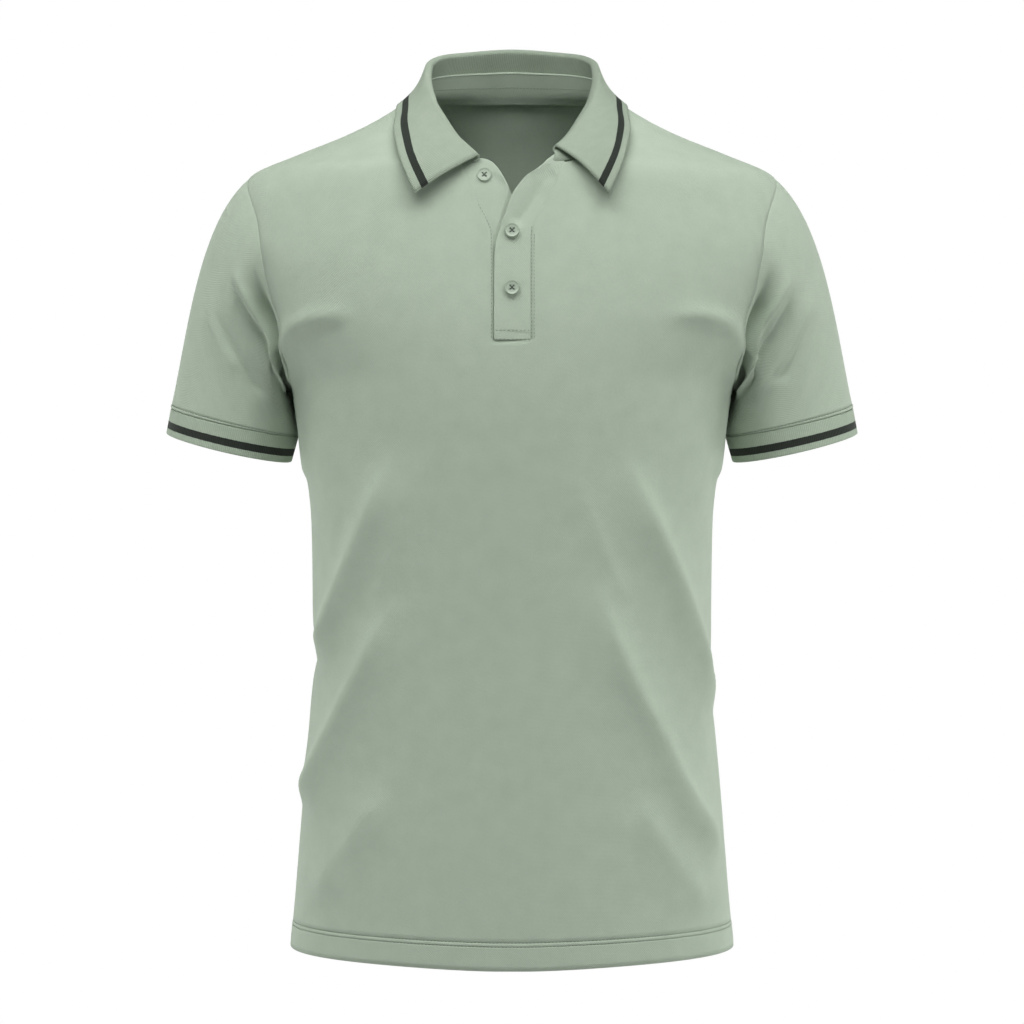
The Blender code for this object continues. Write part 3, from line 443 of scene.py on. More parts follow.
def evened(grid, rounds, lowest, highest, angle_step=0.1, height_step=0.0005):
    """The (angle, height) grid with each inner corner drawn to the middle of its neighbours."""
    for _ in range(rounds):
        here = smooth_point(grid[..., 0], grid[..., 1])
        middle = (here[:-2, 1:-1] + here[2:, 1:-1] + here[1:-1, :-2] + here[1:-1, 2:]) / 4
        angle, height = grid[1:-1, 1:-1, 0], grid[1:-1, 1:-1, 1]
        base = here[1:-1, 1:-1]
        by_angle = (smooth_point(angle + angle_step, height) - base) / angle_step
        by_height = (smooth_point(angle, height + height_step) - base) / height_step
        way = middle - base
        aa, ab, bb = dot(by_angle, by_angle), dot(by_angle, by_height), dot(by_height, by_height)
        at, bt = dot(by_angle, way), dot(by_height, way)
        scale = aa * bb - ab * ab
        grid[1:-1, 1:-1, :1] += (at * bb - bt * ab) / scale
        grid[1:-1, 1:-1, 1:] += (bt * aa - at * ab) / scale
        grid[1:-1, 1:-1, 0] = np.clip(grid[1:-1, 1:-1, 0], lowest, highest)
    return grid


PANEL_SIZES = ((12, 24), (36, 72), (72, 168))
FIRST_ROUNDS, LATER_ROUNDS = 200, 12


def laid_out(centre, outer, bottom, top, lowest, highest):
    """(angle, height) at each corner of a half panel's grid, spread evenly between its seams."""
    grid = None
    for columns, rows in PANEL_SIZES:
        u, v = np.linspace(0, 1, columns + 1), np.linspace(0, 1, rows + 1)
        edges = centre(v), outer(v), bottom(u), top(u)
        if grid is None:
            flat = [np.stack([edge[..., 0], side_length(edge[..., 1]) * 1000], axis=-1) for edge in edges]
            across, up = u[:, None, None], v[None, :, None]
            inside = flat[2][:, None] * (1 - up) + flat[3][:, None] * up
            inside = inside + flat[0][None] * (1 - across) + flat[1][None] * across
            inside = inside - (flat[2][0] * (1 - across) + flat[2][-1] * across) * (1 - up)
            inside = inside - (flat[3][0] * (1 - across) + flat[3][-1] * across) * up
            grid = np.stack([inside[..., 0], side_height(inside[..., 1] / 1000)], axis=-1)
        else:
            grid = resampled(grid, columns, rows)
        grid[0], grid[-1], grid[:, 0], grid[:, -1] = edges
        rounds = FIRST_ROUNDS if columns == PANEL_SIZES[0][0] else LATER_ROUNDS
        grid = evened(grid, rounds, lowest, highest)
    return grid


def between(grid, column_places, row_places):
    """Values of a grid at places counted in columns and rows, with shares between them."""
    for axis, places in ((0, column_places), (1, row_places)):
        low = np.clip(np.floor(places).astype(int), 0, grid.shape[axis] - 2)
        share = (places - low).reshape([-1 if i == axis else 1 for i in range(grid.ndim)])
        grid = np.take(grid, low, axis) * (1 - share) + np.take(grid, low + 1, axis) * share
    return grid


def lengths_along(points, axis):
    """Length along each line of a grid of points, from its first point."""
    steps = np.linalg.norm(np.diff(points, axis=axis), axis=-1)
    first = np.zeros_like(np.take(steps, [0], axis))
    return np.concatenate([first, np.cumsum(steps, axis)], axis=axis)


def measured(points):
    """Lengths over a grid of points, along its columns and along its rows."""
    return np.stack([lengths_along(points, 0), lengths_along(points, 1)], axis=-1)


def cloth(name, points, measures, thickness, material, gone=None, closed=False):
    """A sheet of cloth through a grid of outer points, with its knit's lengths as UV and its wall inwards."""
    columns, rows = points.shape[0] - 1, points.shape[1] - 1
    bm = bmesh.new()
    bmesh.ops.create_grid(bm, x_segments=columns, y_segments=rows, size=0.5)
    uv = bm.loops.layers.uv.new("knit")
    corner = {
        vert: (round((vert.co.x + 0.5) * columns), round((vert.co.y + 0.5) * rows)) for vert in bm.verts
    }
    for face in bm.faces:
        for loop in face.loops:
            loop[uv].uv = measures[corner[loop.vert]]
    cut = [face for face in bm.faces if gone and gone(*np.min([corner[vert] for vert in face.verts], axis=0))]
    for vert, place in corner.items():
        vert.co = points[place]
    bmesh.ops.delete(bm, geom=cut, context="FACES")
    if closed:
        bmesh.ops.remove_doubles(bm, verts=bm.verts, dist=1e-6)
    obj = add_object(name, bm, material)
    wall = obj.modifiers.new("wall", "SOLIDIFY")
    wall.thickness, wall.offset = thickness, -1
    return obj


half_columns, panel_rows = PANEL_SIZES[-1]
front_grid = laid_out(
    slit_edge,
    lambda v: outer_edge(v, True),
    lambda u: hem_edge(u, slit_edge(0)[0]),
    lambda u: top_edge(u, NOTCH_ANGLE),
    0.0,
    90.0,
)
back_grid = laid_out(
    lambda v: np.stack([np.full_like(v, 180.0), HEM_MIDDLE + (neck_seam(180) - HEM_MIDDLE) * v], axis=-1),
    lambda v: outer_edge(v, False),
    lambda u: hem_edge(u, 180.0),
    lambda u: top_edge(u, 180.0),
    90.0,
    180.0,
)
# Towards a seam the cloth dips and turns in: (share of a cell from the seam, drop of the outer face).
SEAM_DIP = ((0.0, 0.0014), (0.03, 0.0005), (0.2, 0.0002), (0.6, 0.0))
SET_SEAM = 0.3  # share of that dip where a seam is pressed open and lies almost flat
ROW_HEIGHT = 0.00413  # of the panels' cells near the hem
HEM_ROWS = (0.0178, 0.0208)  # heights of the two rows of stitches above the hem's edge
HEM_PROUD, GROOVE_WIDTH, GROOVE_DEPTH = 0.0004, 0.0005, 0.00045
GROOVE_FLOOR, GROOVE_CLEAR = 0.4, 1.3  # of half a groove: its flat floor, and the room kept free beside it


def seam_places(count, at_start, at_end, grooves=()):
    """Places along count cells with extra lines at seamed ends and at grooves, and the drop at each."""
    start, end = (
        [(share, drop * depth) for share, drop in SEAM_DIP[: len(SEAM_DIP) if depth else 1]]
        for depth in (at_start, at_end)
    )
    places = [(float(i), 0.0) for i in range(1, count)]
    for groove, half in grooves:
        places = [place for place in places if abs(place[0] - groove) > half * GROOVE_CLEAR]
        places += [(groove - half, 0.0), (groove + half, 0.0)]
        places += [(groove + half * share, GROOVE_DEPTH) for share in (-GROOVE_FLOOR, 0, GROOVE_FLOOR)]
    places = start + sorted(places) + [(count - share, drop) for share, drop in reversed(end)]
    return np.array(places).T


def node(tree, kind, inputs=(), **settings):
    """A new shader node; each input, by its place or its name, takes a value or another node's output."""
    made = tree.nodes.new(f"ShaderNode{kind}")
    for key, value in settings.items():
        setattr(made, key, value)
    for key, value in inputs.items() if isinstance(inputs, dict) else enumerate(inputs):
        if isinstance(value, bpy.types.NodeSocket):
            tree.links.new(value, made.inputs[key])
        else:
            made.inputs[key].default_value = value
    return made


def maths(tree, operation, *values):
    return node(tree, "Math", values, operation=operation).outputs[0]


def bumped(tree, height, distance):
    return node(tree, "Bump", {"Strength": 1.0, "Distance": distance, "Height": height}).outputs[0]


def mixed(tree, factor, low, high):
    """A colour between two others, given or linked, by a factor held within 0 and 1."""
    low, high = ((*colour, 1) if isinstance(colour, tuple) else colour for colour in (low, high))
    inputs = {"Factor": factor, "A": low, "B": high}
    return node(tree, "Mix", inputs, data_type="RGBA", clamp_factor=True).outputs["Result"]


def empty_group(name, inputs, outputs):
    """A node group with plain number inputs, a dict of name to value, and outputs of (name, kind)."""
    group = bpy.data.node_groups.new(name, "ShaderNodeTree")
    for label, value in inputs.items():
        group.interface.new_socket(label, in_out="INPUT", socket_type="NodeSocketFloat").default_value = value
    for label, kind in outputs:
        group.interface.new_socket(label, in_out="OUTPUT", socket_type=f"NodeSocket{kind}")
    return group, group.nodes.new("NodeGroupInput").outputs, group.nodes.new("NodeGroupOutput").inputs


def wave(tree, length, size):
    """A value that rises and falls once in each size along a length."""
    return maths(tree, "COSINE", maths(tree, "MULTIPLY", maths(tree, "DIVIDE", length, size), 2 * pi))


def yarn_noise(tree, across, along, yarn_scale, patch_scale):
    """The fuzz of the yarn, and the slower unevenness of the knit's colour."""
    place = node(tree, "CombineXYZ", (across, along)).outputs[0]
    fine = {"Vector": place, "Scale": yarn_scale, "Detail": 3, "Roughness": 0.6}
    yarn = node(tree, "TexNoise", fine).outputs[0]
    patches = node(tree, "TexNoise", {"Vector": place, "Scale": patch_scale, "Detail": 2}).outputs[0]
    return yarn, maths(tree, "MULTIPLY_ADD", patches, 0.6, maths(tree, "MULTIPLY", yarn, 0.4))


def pique_group():
    """Staggered rows of small raised loops, with dips between them and the yarn a little uneven."""
    sizes = {"Across": 0.0, "Along": 0.0, "Loop Width": 0.0015, "Loop Height": 0.0013, "Relief": 0.00022}
    outputs = (("Loops", "Float"), ("Unevenness", "Float"), ("Normal", "Vector"))
    group, given, put_out = empty_group("pique_knit", sizes, outputs)
    columns = wave(group, given["Across"], given["Loop Width"])
    rows = wave(group, given["Along"], given["Loop Height"])
    loops = maths(group, "MULTIPLY_ADD", maths(group, "MULTIPLY", columns, rows), 0.5, 0.5)
    yarn, unevenness = yarn_noise(group, given["Across"], given["Along"], 420, 60)
    height = maths(group, "MULTIPLY_ADD", yarn, 0.7, loops)
    group.links.new(loops, put_out["Loops"])
    group.links.new(unevenness, put_out["Unevenness"])
    group.links.new(bumped(group, height, given["Relief"]), put_out["Normal"])
    return group


def cloth_shader(material, colour, normal, sheen):
    """Gives a cloth material its colour, its relief and the soft edge light of brushed cotton."""
    tree = material.node_tree
    shader = tree.nodes["Principled BSDF"]
    tree.links.new(colour, shader.inputs["Base Color"])
    tree.links.new(normal, shader.inputs["Normal"])
    for label, value in (("Sheen Weight", sheen), ("Sheen Roughness", 0.45), ("Specular IOR Level", 0.25)):
        shader.inputs[label].default_value = value
    shader.inputs["Sheen Tint"].default_value = (0.80, 0.88, 0.78, 1)


def knit_lengths(tree):
    """Lengths across and along a piece's knit."""
    return node(tree, "SeparateXYZ", (node(tree, "UVMap", uv_map="knit").outputs[0],)).outputs


def pique_material(name, shaded_dip_colour, crown):
    """Pique painted with a darker dip colour between its loops as painted shade, and with the crown colour,
    the cloth's own, on its loops.
    """
    material = plain_material(name, crown, 0.88)
    tree = material.node_tree
    across, along = knit_lengths(tree)[:2]
    knit = node(tree, "Group", {"Across": across, "Along": along}, node_tree=pique_knit).outputs
    uneven = maths(tree, "MULTIPLY", knit["Unevenness"], 0.9)
    # Painted shade: the colour leans to the darker dip colour between the loops; the yarn's unevenness varies
    # it at random.
    light = maths(tree, "SUBTRACT", maths(tree, "MULTIPLY_ADD", knit["Loops"], 0.55, uneven), 0.22)
    cloth_shader(material, mixed(tree, light, shaded_dip_colour, crown), knit["Normal"], 0.22)
    return material


pique_knit = pique_group()
# The first colour is painted shade in the knit's dips, a darkened copy of the second, the cloth's own sage.
pique = pique_material("sage_pique", (0.385, 0.468, 0.368), (0.50, 0.59, 0.475))


def mirrored_halves(grid, *middle):
    """A whole panel from a half's (angle, height) grid, with or without columns between the halves."""
    return np.concatenate([grid[::-1] * np.array([-1, 1]), *middle, grid if middle else grid[1:]])


def panel_lift(side_drops):
    """Lift of a panel's face by column and row, from the dips at its sides and along its rows."""
    side_drops, along = side_drops[:, None], row_drops[None, :]
    return -np.where(side_drops > 0, np.maximum(side_drops, along), along)


column_places, column_drops = seam_places(half_columns, 0.0, SET_SEAM)
hem_grooves = [(height / ROW_HEIGHT, GROOVE_WIDTH / ROW_HEIGHT) for height in HEM_ROWS]
row_places, row_drops = seam_places(panel_rows, 0.0, 1.0, hem_grooves)
hem_band = np.clip((HEM_ROWS[1] / ROW_HEIGHT - row_places) * 3, 0, 1) * HEM_PROUD
row_drops -= hem_band * np.clip(row_places * 4, 0.3, 1)
front_half = between(front_grid, column_places, row_places)
slit_line = front_half[0]
STRIP = 8  # cells between the two sides of the slit, whole below it and cut away beside it
strip_angles = np.linspace(-1, 1, STRIP + 1)[1:-1, None] * slit_line[None, :, 0]
strip = np.stack(np.broadcast_arrays(strip_angles, slit_line[None, :, 1]), axis=-1)
front_angles = mirrored_halves(front_half, strip)
front_lift = panel_lift(np.concatenate([column_drops[::-1], np.zeros(STRIP - 1), column_drops]))
front_points = body_point(front_angles[..., 0], front_angles[..., 1], front_lift)
front_measures = measured(front_points)
front_measures[..., 0] -= front_measures[len(front_points) // 2, :, 0].copy()  # counted from the middle
slit_row = int(np.searchsorted(row_places, panel_rows * SIDE_SHARE))
half = len(column_places)
front = cloth(
    "front_panel",
    front_points,
    front_measures,
    CLOTH,
    pique,
    gone=lambda column, row: row >= slit_row and half - 1 <= column < half - 1 + STRIP,
)
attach(front, "root")
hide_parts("front")

back_half = between(back_grid, column_places, row_places)
back_angles = mirrored_halves(back_half)[::-1]
back_lift = panel_lift(np.concatenate([column_drops[::-1], column_drops[1:]]))
back_points = body_point(back_angles[..., 0], back_angles[..., 1], back_lift)
back = cloth("back_panel", back_points, measured(back_points), CLOTH, pique)
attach(back, "root")
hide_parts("back")


# ---------------------------------------------------------------- sleeves
# Each sleeve is one piece of the same pique, closed under the arm and set into the armhole with a plain seam.
# It hangs down from the shoulder, with creases that run round from the front to the armpit.
SLEEVE_GIRTH_PER_DEGREE, SLEEVE_LENGTH = 0.055 * pi / 180, 0.20
SLEEVE_FOLDS = {
    "left": (
        Fold(((58, 0.31), (71, 0.29), (107, 0.23), (138, 0.30), (160, 0.44)), 0.006, 0.007, 0.0058),
        Fold(((41, 0.47), (53, 0.48), (79, 0.54), (110, 0.62), (128, 0.69)), 0.009, 0.008, 0.0028),
        Fold(((57, 0.50), (82, 0.60), (104, 0.68)), 0.010, 0.010, -0.0030),
        Fold(((76, 0.12), (105, 0.10), (135, 0.09), (160, 0.13), (185, 0.15)), 0.021, 0.012, -0.0120),
        Fold(((306, 0.30), (270, 0.26), (235, 0.235), (200, 0.26)), 0.008, 0.011, 0.0038),
        Fold(((318, 0.48), (285, 0.58), (255, 0.68), (240, 0.76)), 0.010, 0.012, 0.0030),
        Fold(((282, 0.11), (250, 0.10), (220, 0.10), (195, 0.12)), 0.012, 0.009, -0.0060),
    ),
    "right": (
        Fold(
            ((60, 0.29), (82, 0.25), (105, 0.225), (130, 0.22), (150, 0.26), (168, 0.28)),
            0.006,
            0.007,
            0.0056,
        ),
        Fold(((40, 0.50), (60, 0.555), (79, 0.605), (97, 0.65)), 0.009, 0.008, 0.0026),
        Fold(((55, 0.49), (81, 0.56), (103, 0.63), (120, 0.71)), 0.010, 0.012, -0.0034),
        Fold(((76, 0.11), (105, 0.09), (135, 0.085), (160, 0.11), (185, 0.14)), 0.021, 0.012, -0.0120),
        Fold(((302, 0.33), (268, 0.28), (232, 0.25), (198, 0.28)), 0.008, 0.011, 0.0036),
        Fold(((314, 0.52), (282, 0.60), (252, 0.70), (236, 0.79)), 0.010, 0.012, 0.0028),
        Fold(((284, 0.12), (252, 0.10), (222, 0.10), (197, 0.13)), 0.012, 0.009, -0.0056),
    ),
}
SLEEVE_CREASES = {
    "left": (
        Fold(((58, 0.37), (87, 0.355), (113, 0.36), (130, 0.43), (142, 0.52)), 0.012, 0.004, -0.0036),
        Fold(((300, 0.37), (262, 0.34), (228, 0.34), (205, 0.40)), 0.010, 0.005, -0.0026),
    ),
    "right": (
        Fold(((62, 0.325), (79, 0.305), (101, 0.285), (121, 0.295), (138, 0.35)), 0.012, 0.004, -0.0040),
        Fold(((296, 0.39), (260, 0.35), (226, 0.35), (202, 0.40)), 0.010, 0.005, -0.0026),
    ),
}
CUFF_TILT, CUFF_DIP = radians(13.2), radians(6)
CUFF_CENTRE = np.array([0.2294, -0.004, -0.2670])
CUFF_HALF_WIDTH, CUFF_HALF_DEPTH, CUFF_DEPTH = 0.0541, 0.0490, 0.0220
CUFF_NARROWING, CUFF_TWIST = 0.0010, 0.0008
CUFF_OUT = np.array([cos(CUFF_TILT), 0, sin(CUFF_TILT)])
CUFF_DOWN = np.array([sin(CUFF_TILT), 0, -cos(CUFF_TILT)])
CUFF_AHEAD = np.array([0, -cos(CUFF_DIP), -sin(CUFF_DIP)])
SET_ANGLE, SET_FOLLOW, SLEEVE_EASE = radians(23), 0.7, 0.85
SLEEVE_COLUMNS, SLEEVE_ROWS = 112, 60
CUFF_ALLOWANCE, CUFF_PROUD = 0.95, 0.0005  # the allowance caught down above the cuff, in rows, and how proud
CUFF_GROOVE = 0.15  # half of the stitched groove above that allowance, in rows
MIRROR = np.array([-1, 1, 1])  # takes a place on the wearer's left to the wearer's right


def cuff_middle(turn, t):
    turn, t = (np.asarray(value, float)[..., None] for value in np.broadcast_arrays(turn, t))
    across = CUFF_OUT * (CUFF_HALF_WIDTH - CUFF_NARROWING * t) + CUFF_DOWN * CUFF_TWIST * (1 - t)
    ahead = CUFF_AHEAD * CUFF_HALF_DEPTH * np.sin(np.radians(turn))
    return CUFF_CENTRE + across * np.cos(np.radians(turn)) + ahead + CUFF_DOWN * CUFF_DEPTH * t


def sleeve_middle(turn, t):
    """Outer face of the left sleeve: turn 0 is its top, 90 its front; t runs from the armhole to the cuff."""
    turn, t = np.broadcast_arrays(np.asarray(turn, float), np.asarray(t, float))
    angle, height = armhole(turn)
    normal = body_normal(angle, height)
    leave = np.array([cos(SET_ANGLE), 0, -sin(SET_ANGLE)])
    leave = unit(leave - normal * dot(normal, leave) * SET_FOLLOW)
    start = body_point(angle, height) - leave * SEAM_GAP
    end = cuff_middle(turn, 0.0) - CUFF_DOWN * SEAM_GAP
    reach = np.linalg.norm(end - start, axis=-1, keepdims=True) * SLEEVE_EASE
    t = t[..., None]
    out = start * (1 + 2 * t) * (1 - t) ** 2 + leave * reach * t * (1 - t) ** 2
    return out + end * t * t * (3 - 2 * t) - CUFF_DOWN * reach * t * t * (1 - t)


def sleeve_point(turn, t, folds, lift):
    normal = outward(sleeve_middle, turn, t, 0.5, 0.01)
    creases = fold_lift(folds, turn, t, SLEEVE_GIRTH_PER_DEGREE, SLEEVE_LENGTH)
    free = eased_in(np.minimum(t, 1 - t) * 10)
    return sleeve_middle(turn, t) + normal * (creases * free + lift)[..., None]


def round_the_arm(name, which, points, thickness, material, from_edge=None):
    """A piece of cloth closed into a loop: the left one, or its mirror image for the right arm."""
    points[-1] = points[0]
    measures = measured(points)
    if from_edge is not None:
        measures[..., 1] = from_edge
    if which == "right":
        points, measures = points[::-1] * MIRROR, measures[::-1]
    return cloth(name, points, measures, thickness, material, closed=True)


cuff_seam = SLEEVE_ROWS - CUFF_ALLOWANCE
places, drops = seam_places(SLEEVE_ROWS, SET_SEAM, 1.0, [(cuff_seam, CUFF_GROOVE)])
drops -= CUFF_PROUD * (places > cuff_seam + 0.1) * (drops < 0.0004)
turns = np.linspace(0, 360, SLEEVE_COLUMNS + 1)[:, None]
sleeve_folds = {which: SLEEVE_FOLDS[which] + SLEEVE_CREASES[which] for which in ("left", "right")}
for which in ("left", "right"):
    points = sleeve_point(turns, places[None] / SLEEVE_ROWS, sleeve_folds[which], -drops[None] + 0 * turns)
    sleeve = round_the_arm(f"sleeve_{which}_cloth", which, points, CLOTH, pique)
    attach(sleeve, "root")
    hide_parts(f"sleeve_{which}")


# ---------------------------------------------------------------- cuffs
# A flat rib-knit band closes each sleeve, sewn on edge to edge, with a dark stripe knitted in near its edge.
RIB = 0.0018
# Charcoal of the stripe: the groove colour is painted shade between the ribs, the crown colour the yarn's
# own.
CHARCOAL_SHADED_GROOVE, CHARCOAL_CROWN = (0.016, 0.020, 0.016), (0.034, 0.041, 0.034)
CUFF_ROWS = 14
COURSE_HEIGHT, STRIPE_BLUR = 0.0009, 0.0003


def rib_group():
    """Fine ribs that run straight to the loose edge, and a knitted-in stripe along it."""
    sizes = {"Across": 0.0, "From Edge": 0.0, "Rib Width": 0.0016, "Relief": 0.00024}
    sizes |= {"Stripe Start": 0.0040, "Stripe End": 0.0097}
    outputs = (("Ribs", "Float"), ("Stripe", "Float"), ("Unevenness", "Float"), ("Normal", "Vector"))
    group, given, put_out = empty_group("rib_knit", sizes, outputs)
    ribs = maths(group, "MULTIPLY_ADD", wave(group, given["Across"], given["Rib Width"]), 0.5, 0.5)
    yarn, unevenness = yarn_noise(group, given["Across"], given["From Edge"], 480, 90)
    rounded = maths(group, "MULTIPLY_ADD", yarn, 0.5, ribs)
    height = maths(group, "MULTIPLY_ADD", wave(group, given["From Edge"], COURSE_HEIGHT), 0.12, rounded)
    wavy_edge = maths(group, "MULTIPLY_ADD", yarn, STRIPE_BLUR * 2, given["From Edge"])
    from_start = maths(group, "SUBTRACT", wavy_edge, given["Stripe Start"])
    to_end = maths(group, "SUBTRACT", given["Stripe End"], wavy_edge)
    blurred = [maths(group, "DIVIDE", length, STRIPE_BLUR) for length in (from_start, to_end)]
    stripe = node(group, "Math", blurred, operation="MINIMUM", use_clamp=True).outputs[0]
    group.links.new(ribs, put_out["Ribs"])
    group.links.new(stripe, put_out["Stripe"])
    group.links.new(unevenness, put_out["Unevenness"])
    group.links.new(bumped(group, height, given["Relief"]), put_out["Normal"])
    return group


def rib_material(name, groove, crown, stripe_start, stripe_end):
    """Rib knit in one colour with a charcoal stripe; each has painted shade in the grooves between its ribs,
    a darker groove colour.
    """
    material = plain_material(name, crown, 0.9)
    tree = material.node_tree
    across, from_edge = knit_lengths(tree)[:2]
    given = {"Across": across, "From Edge": from_edge, "Stripe Start": stripe_start, "Stripe End": stripe_end}
    knit = node(tree, "Group", given, node_tree=rib_knit).outputs
    uneven = maths(tree, "MULTIPLY", knit["Unevenness"], 0.7)
    light = maths(tree, "SUBTRACT", maths(tree, "MULTIPLY_ADD", knit["Ribs"], 0.5, uneven), 0.1)
    # Painted shade: sage and charcoal both lean to their darker groove colours between the ribs.
    sage, charcoal = mixed(tree, light, groove, crown), mixed(tree, light, CHARCOAL_SHADED_GROOVE, CHARCOAL_CROWN)
    cloth_shader(material, mixed(tree, knit["Stripe"], sage, charcoal), knit["Normal"], 0.10)
    return material


rib_knit = rib_group()
# The first colour is painted shade in the grooves between the ribs; the second is the rib's own sage.
cuff_rib = rib_material("sage_cuff_rib", (0.31, 0.385, 0.295), (0.465, 0.55, 0.44), 0.0056, 0.0120)
places, drops = seam_places(CUFF_ROWS, 1.0, 1.0)
for which in ("left", "right"):
    t = places[None] / CUFF_ROWS + 0 * turns
    points = cuff_middle(turns, t) - outward(cuff_middle, turns + 0 * t, t, 0.5, 0.01) * drops[None, :, None]
    cuff = round_the_arm(f"cuff_{which}_rib", which, points, RIB, cuff_rib, from_edge=(1 - t) * CUFF_DEPTH)
    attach(cuff, "root")
    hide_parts(f"cuff_{which}")


# ---------------------------------------------------------------- collar
# The collar is one flat rib-knit piece sewn to the neckline by its inner edge. It stands up round the neck,
# rolls over and falls to a loose outer edge, which carries a dark knitted stripe inside a pale border.
Roll = namedtuple("Roll", "angle fold_x fold_y fold_z edge_angle edge_height edge_lift bulge")
COLLAR = (
    Roll(17, 0.0266, -0.0992, -0.0590, 36.3, -0.0930, 0.0120, 0.0022),
    Roll(25, 0.0345, -0.0885, -0.0505, 40.0, -0.0785, 0.0112, 0.0022),
    Roll(34, 0.0425, -0.0745, -0.0415, 44.6, -0.0640, 0.0095, 0.0018),
    Roll(47, 0.0538, -0.0560, -0.0230, 57.0, -0.0440, 0.0068, 0.0010),
    Roll(60, 0.0630, -0.0360, -0.0050, 68.0, -0.0285, 0.0045, -0.0006),
    Roll(78, 0.0680, -0.0120, 0.0160, 79.5, -0.0128, 0.0022, -0.0026),
    Roll(87, 0.0683, 0.0003, 0.0242, 87.0, -0.0064, 0.0020, -0.0032),
    Roll(95, 0.0680, 0.0120, 0.0315, 93.0, -0.0042, 0.0026, -0.0030),
    Roll(120, 0.0590, 0.0360, 0.0420, 120.0, -0.0020, 0.0030, -0.0010),
    Roll(150, 0.0330, 0.0545, 0.0482, 150.0, 0.0055, 0.0030, 0.0008),
    Roll(180, 0.0000, 0.0600, 0.0512, 180.0, 0.0100, 0.0030, 0.0014),
    Roll(210, -0.0330, 0.0545, 0.0482, 210.0, 0.0055, 0.0030, 0.0008),
)
COLLAR_END = 17.0
ROLL_RADIUS, STAND_GAP = 0.0026, 0.0015
STAND_END, ROLL_END = 0.30, 0.50
COLLAR_COLUMNS = 90
STAND_ROWS, ROLL_ROWS, LEAF_ROWS = 16, 14, 30
LEAF_EASING = 16  # rounds in which each place on the hanging leaf is drawn to the middle of those beside it
COLLAR_BACKSET = 7.0  # degrees by which the wearer's left end of the fold lies further back than the right
roll = {column: curve(COLLAR, column) for column in Roll._fields[1:]}


def collar_middle(angle, v):
    """Middle of the collar's wall on the wearer's left; v runs up the stand, over the fold, down the leaf."""
    angle, v = np.broadcast_arrays(np.asarray(angle, float), np.asarray(v, float))
    seam = body_point(angle, neck_seam(angle), -CLOTH * 0.75)
    fold = np.stack([roll["fold_x"](angle), roll["fold_y"](angle), roll["fold_z"](angle)], axis=-1)
    edge = body_point(roll["edge_angle"](angle), roll["edge_height"](angle), roll["edge_lift"](angle))
    rise, fall = unit(fold - seam), unit(edge - fold)
    up, out = unit(rise - fall), unit(rise + fall)
    centre = fold - up * ROLL_RADIUS
    v, bulge = v[..., None], roll["bulge"](angle)[..., None]
    stand = np.clip(v / STAND_END, 0, 1)
    turn = pi * np.clip((v - STAND_END) / (ROLL_END - STAND_END), 0, 1)
    share = np.clip((v - ROLL_END) / (1 - ROLL_END), 0, 1)
    bottom = seam + rise * STAND_GAP
    on_stand = bottom * (1 - stand) + (centre - out * ROLL_RADIUS) * stand
    on_roll = centre + (up * np.sin(turn) - out * np.cos(turn)) * ROLL_RADIUS
    away = unit(out - fall * dot(out, fall))
    on_leaf = (centre + out * ROLL_RADIUS) * (1 - share) + edge * share + away * bulge * np.sin(pi * share)
    return np.where(v <= STAND_END, on_stand, np.where(v <= ROLL_END, on_roll, on_leaf))


def collar_face(angle, v, lift):
    """Points off the middle of the collar's wall; a positive lift is towards the side that shows."""
    angle, v = np.broadcast_arrays(np.asarray(angle, float), np.asarray(v, float))
    normal = -outward(collar_middle, angle, v, 0.5, 0.01)
    return collar_middle(angle, v) + normal * np.asarray(lift)[..., None]


def round_the_neck(left, right):
    """One grid from both sides of the neck, each of which runs from the front to the centre back."""
    return np.concatenate([left, right[:-1][::-1]])[::-1]


on_stand = np.linspace(0, STAND_END, STAND_ROWS + 1)
on_roll = np.linspace(STAND_END, ROLL_END, ROLL_ROWS + 1)[1:]
profile = np.concatenate([on_stand, on_roll, np.linspace(ROLL_END, 1, LEAF_ROWS + 1)[1:]])
angles = np.linspace(COLLAR_END, 180, COLLAR_COLUMNS + 1)
backset = COLLAR_BACKSET * np.minimum(np.minimum(profile / STAND_END, 1), 2 * (1 - profile))[None]
left_angles = angles[:, None] + backset * (180 - angles[:, None]) / (180 - COLLAR_END)
left_collar = collar_face(left_angles, profile[None], RIB / 2)
right_collar = collar_face(angles[:, None], profile[None], RIB / 2) * MIRROR
collar_points = round_the_neck(left_collar, right_collar)
hang = eased_in((profile - ROLL_END) / 0.25)[None, :, None]
for _ in range(LEAF_EASING):
    middle = (collar_points[:-2] + collar_points[2:]) / 2
    collar_points[1:-1] += (middle - collar_points[1:-1]) * hang / 2
collar_measures = measured(collar_points[:, ::-1])[:, ::-1]
# The collar's colours are the cuffs' rib darkened by about a tenth: painted shade on the same knit, besides
# the painted shade in its grooves.
collar_rib = rib_material("sage_collar_rib_shaded", (0.285, 0.352, 0.268), (0.42, 0.497, 0.398), 0.0066, 0.0136)
collar = cloth("collar_rib", collar_points, collar_measures, RIB, collar_rib)
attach(collar, "root")
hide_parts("collar")


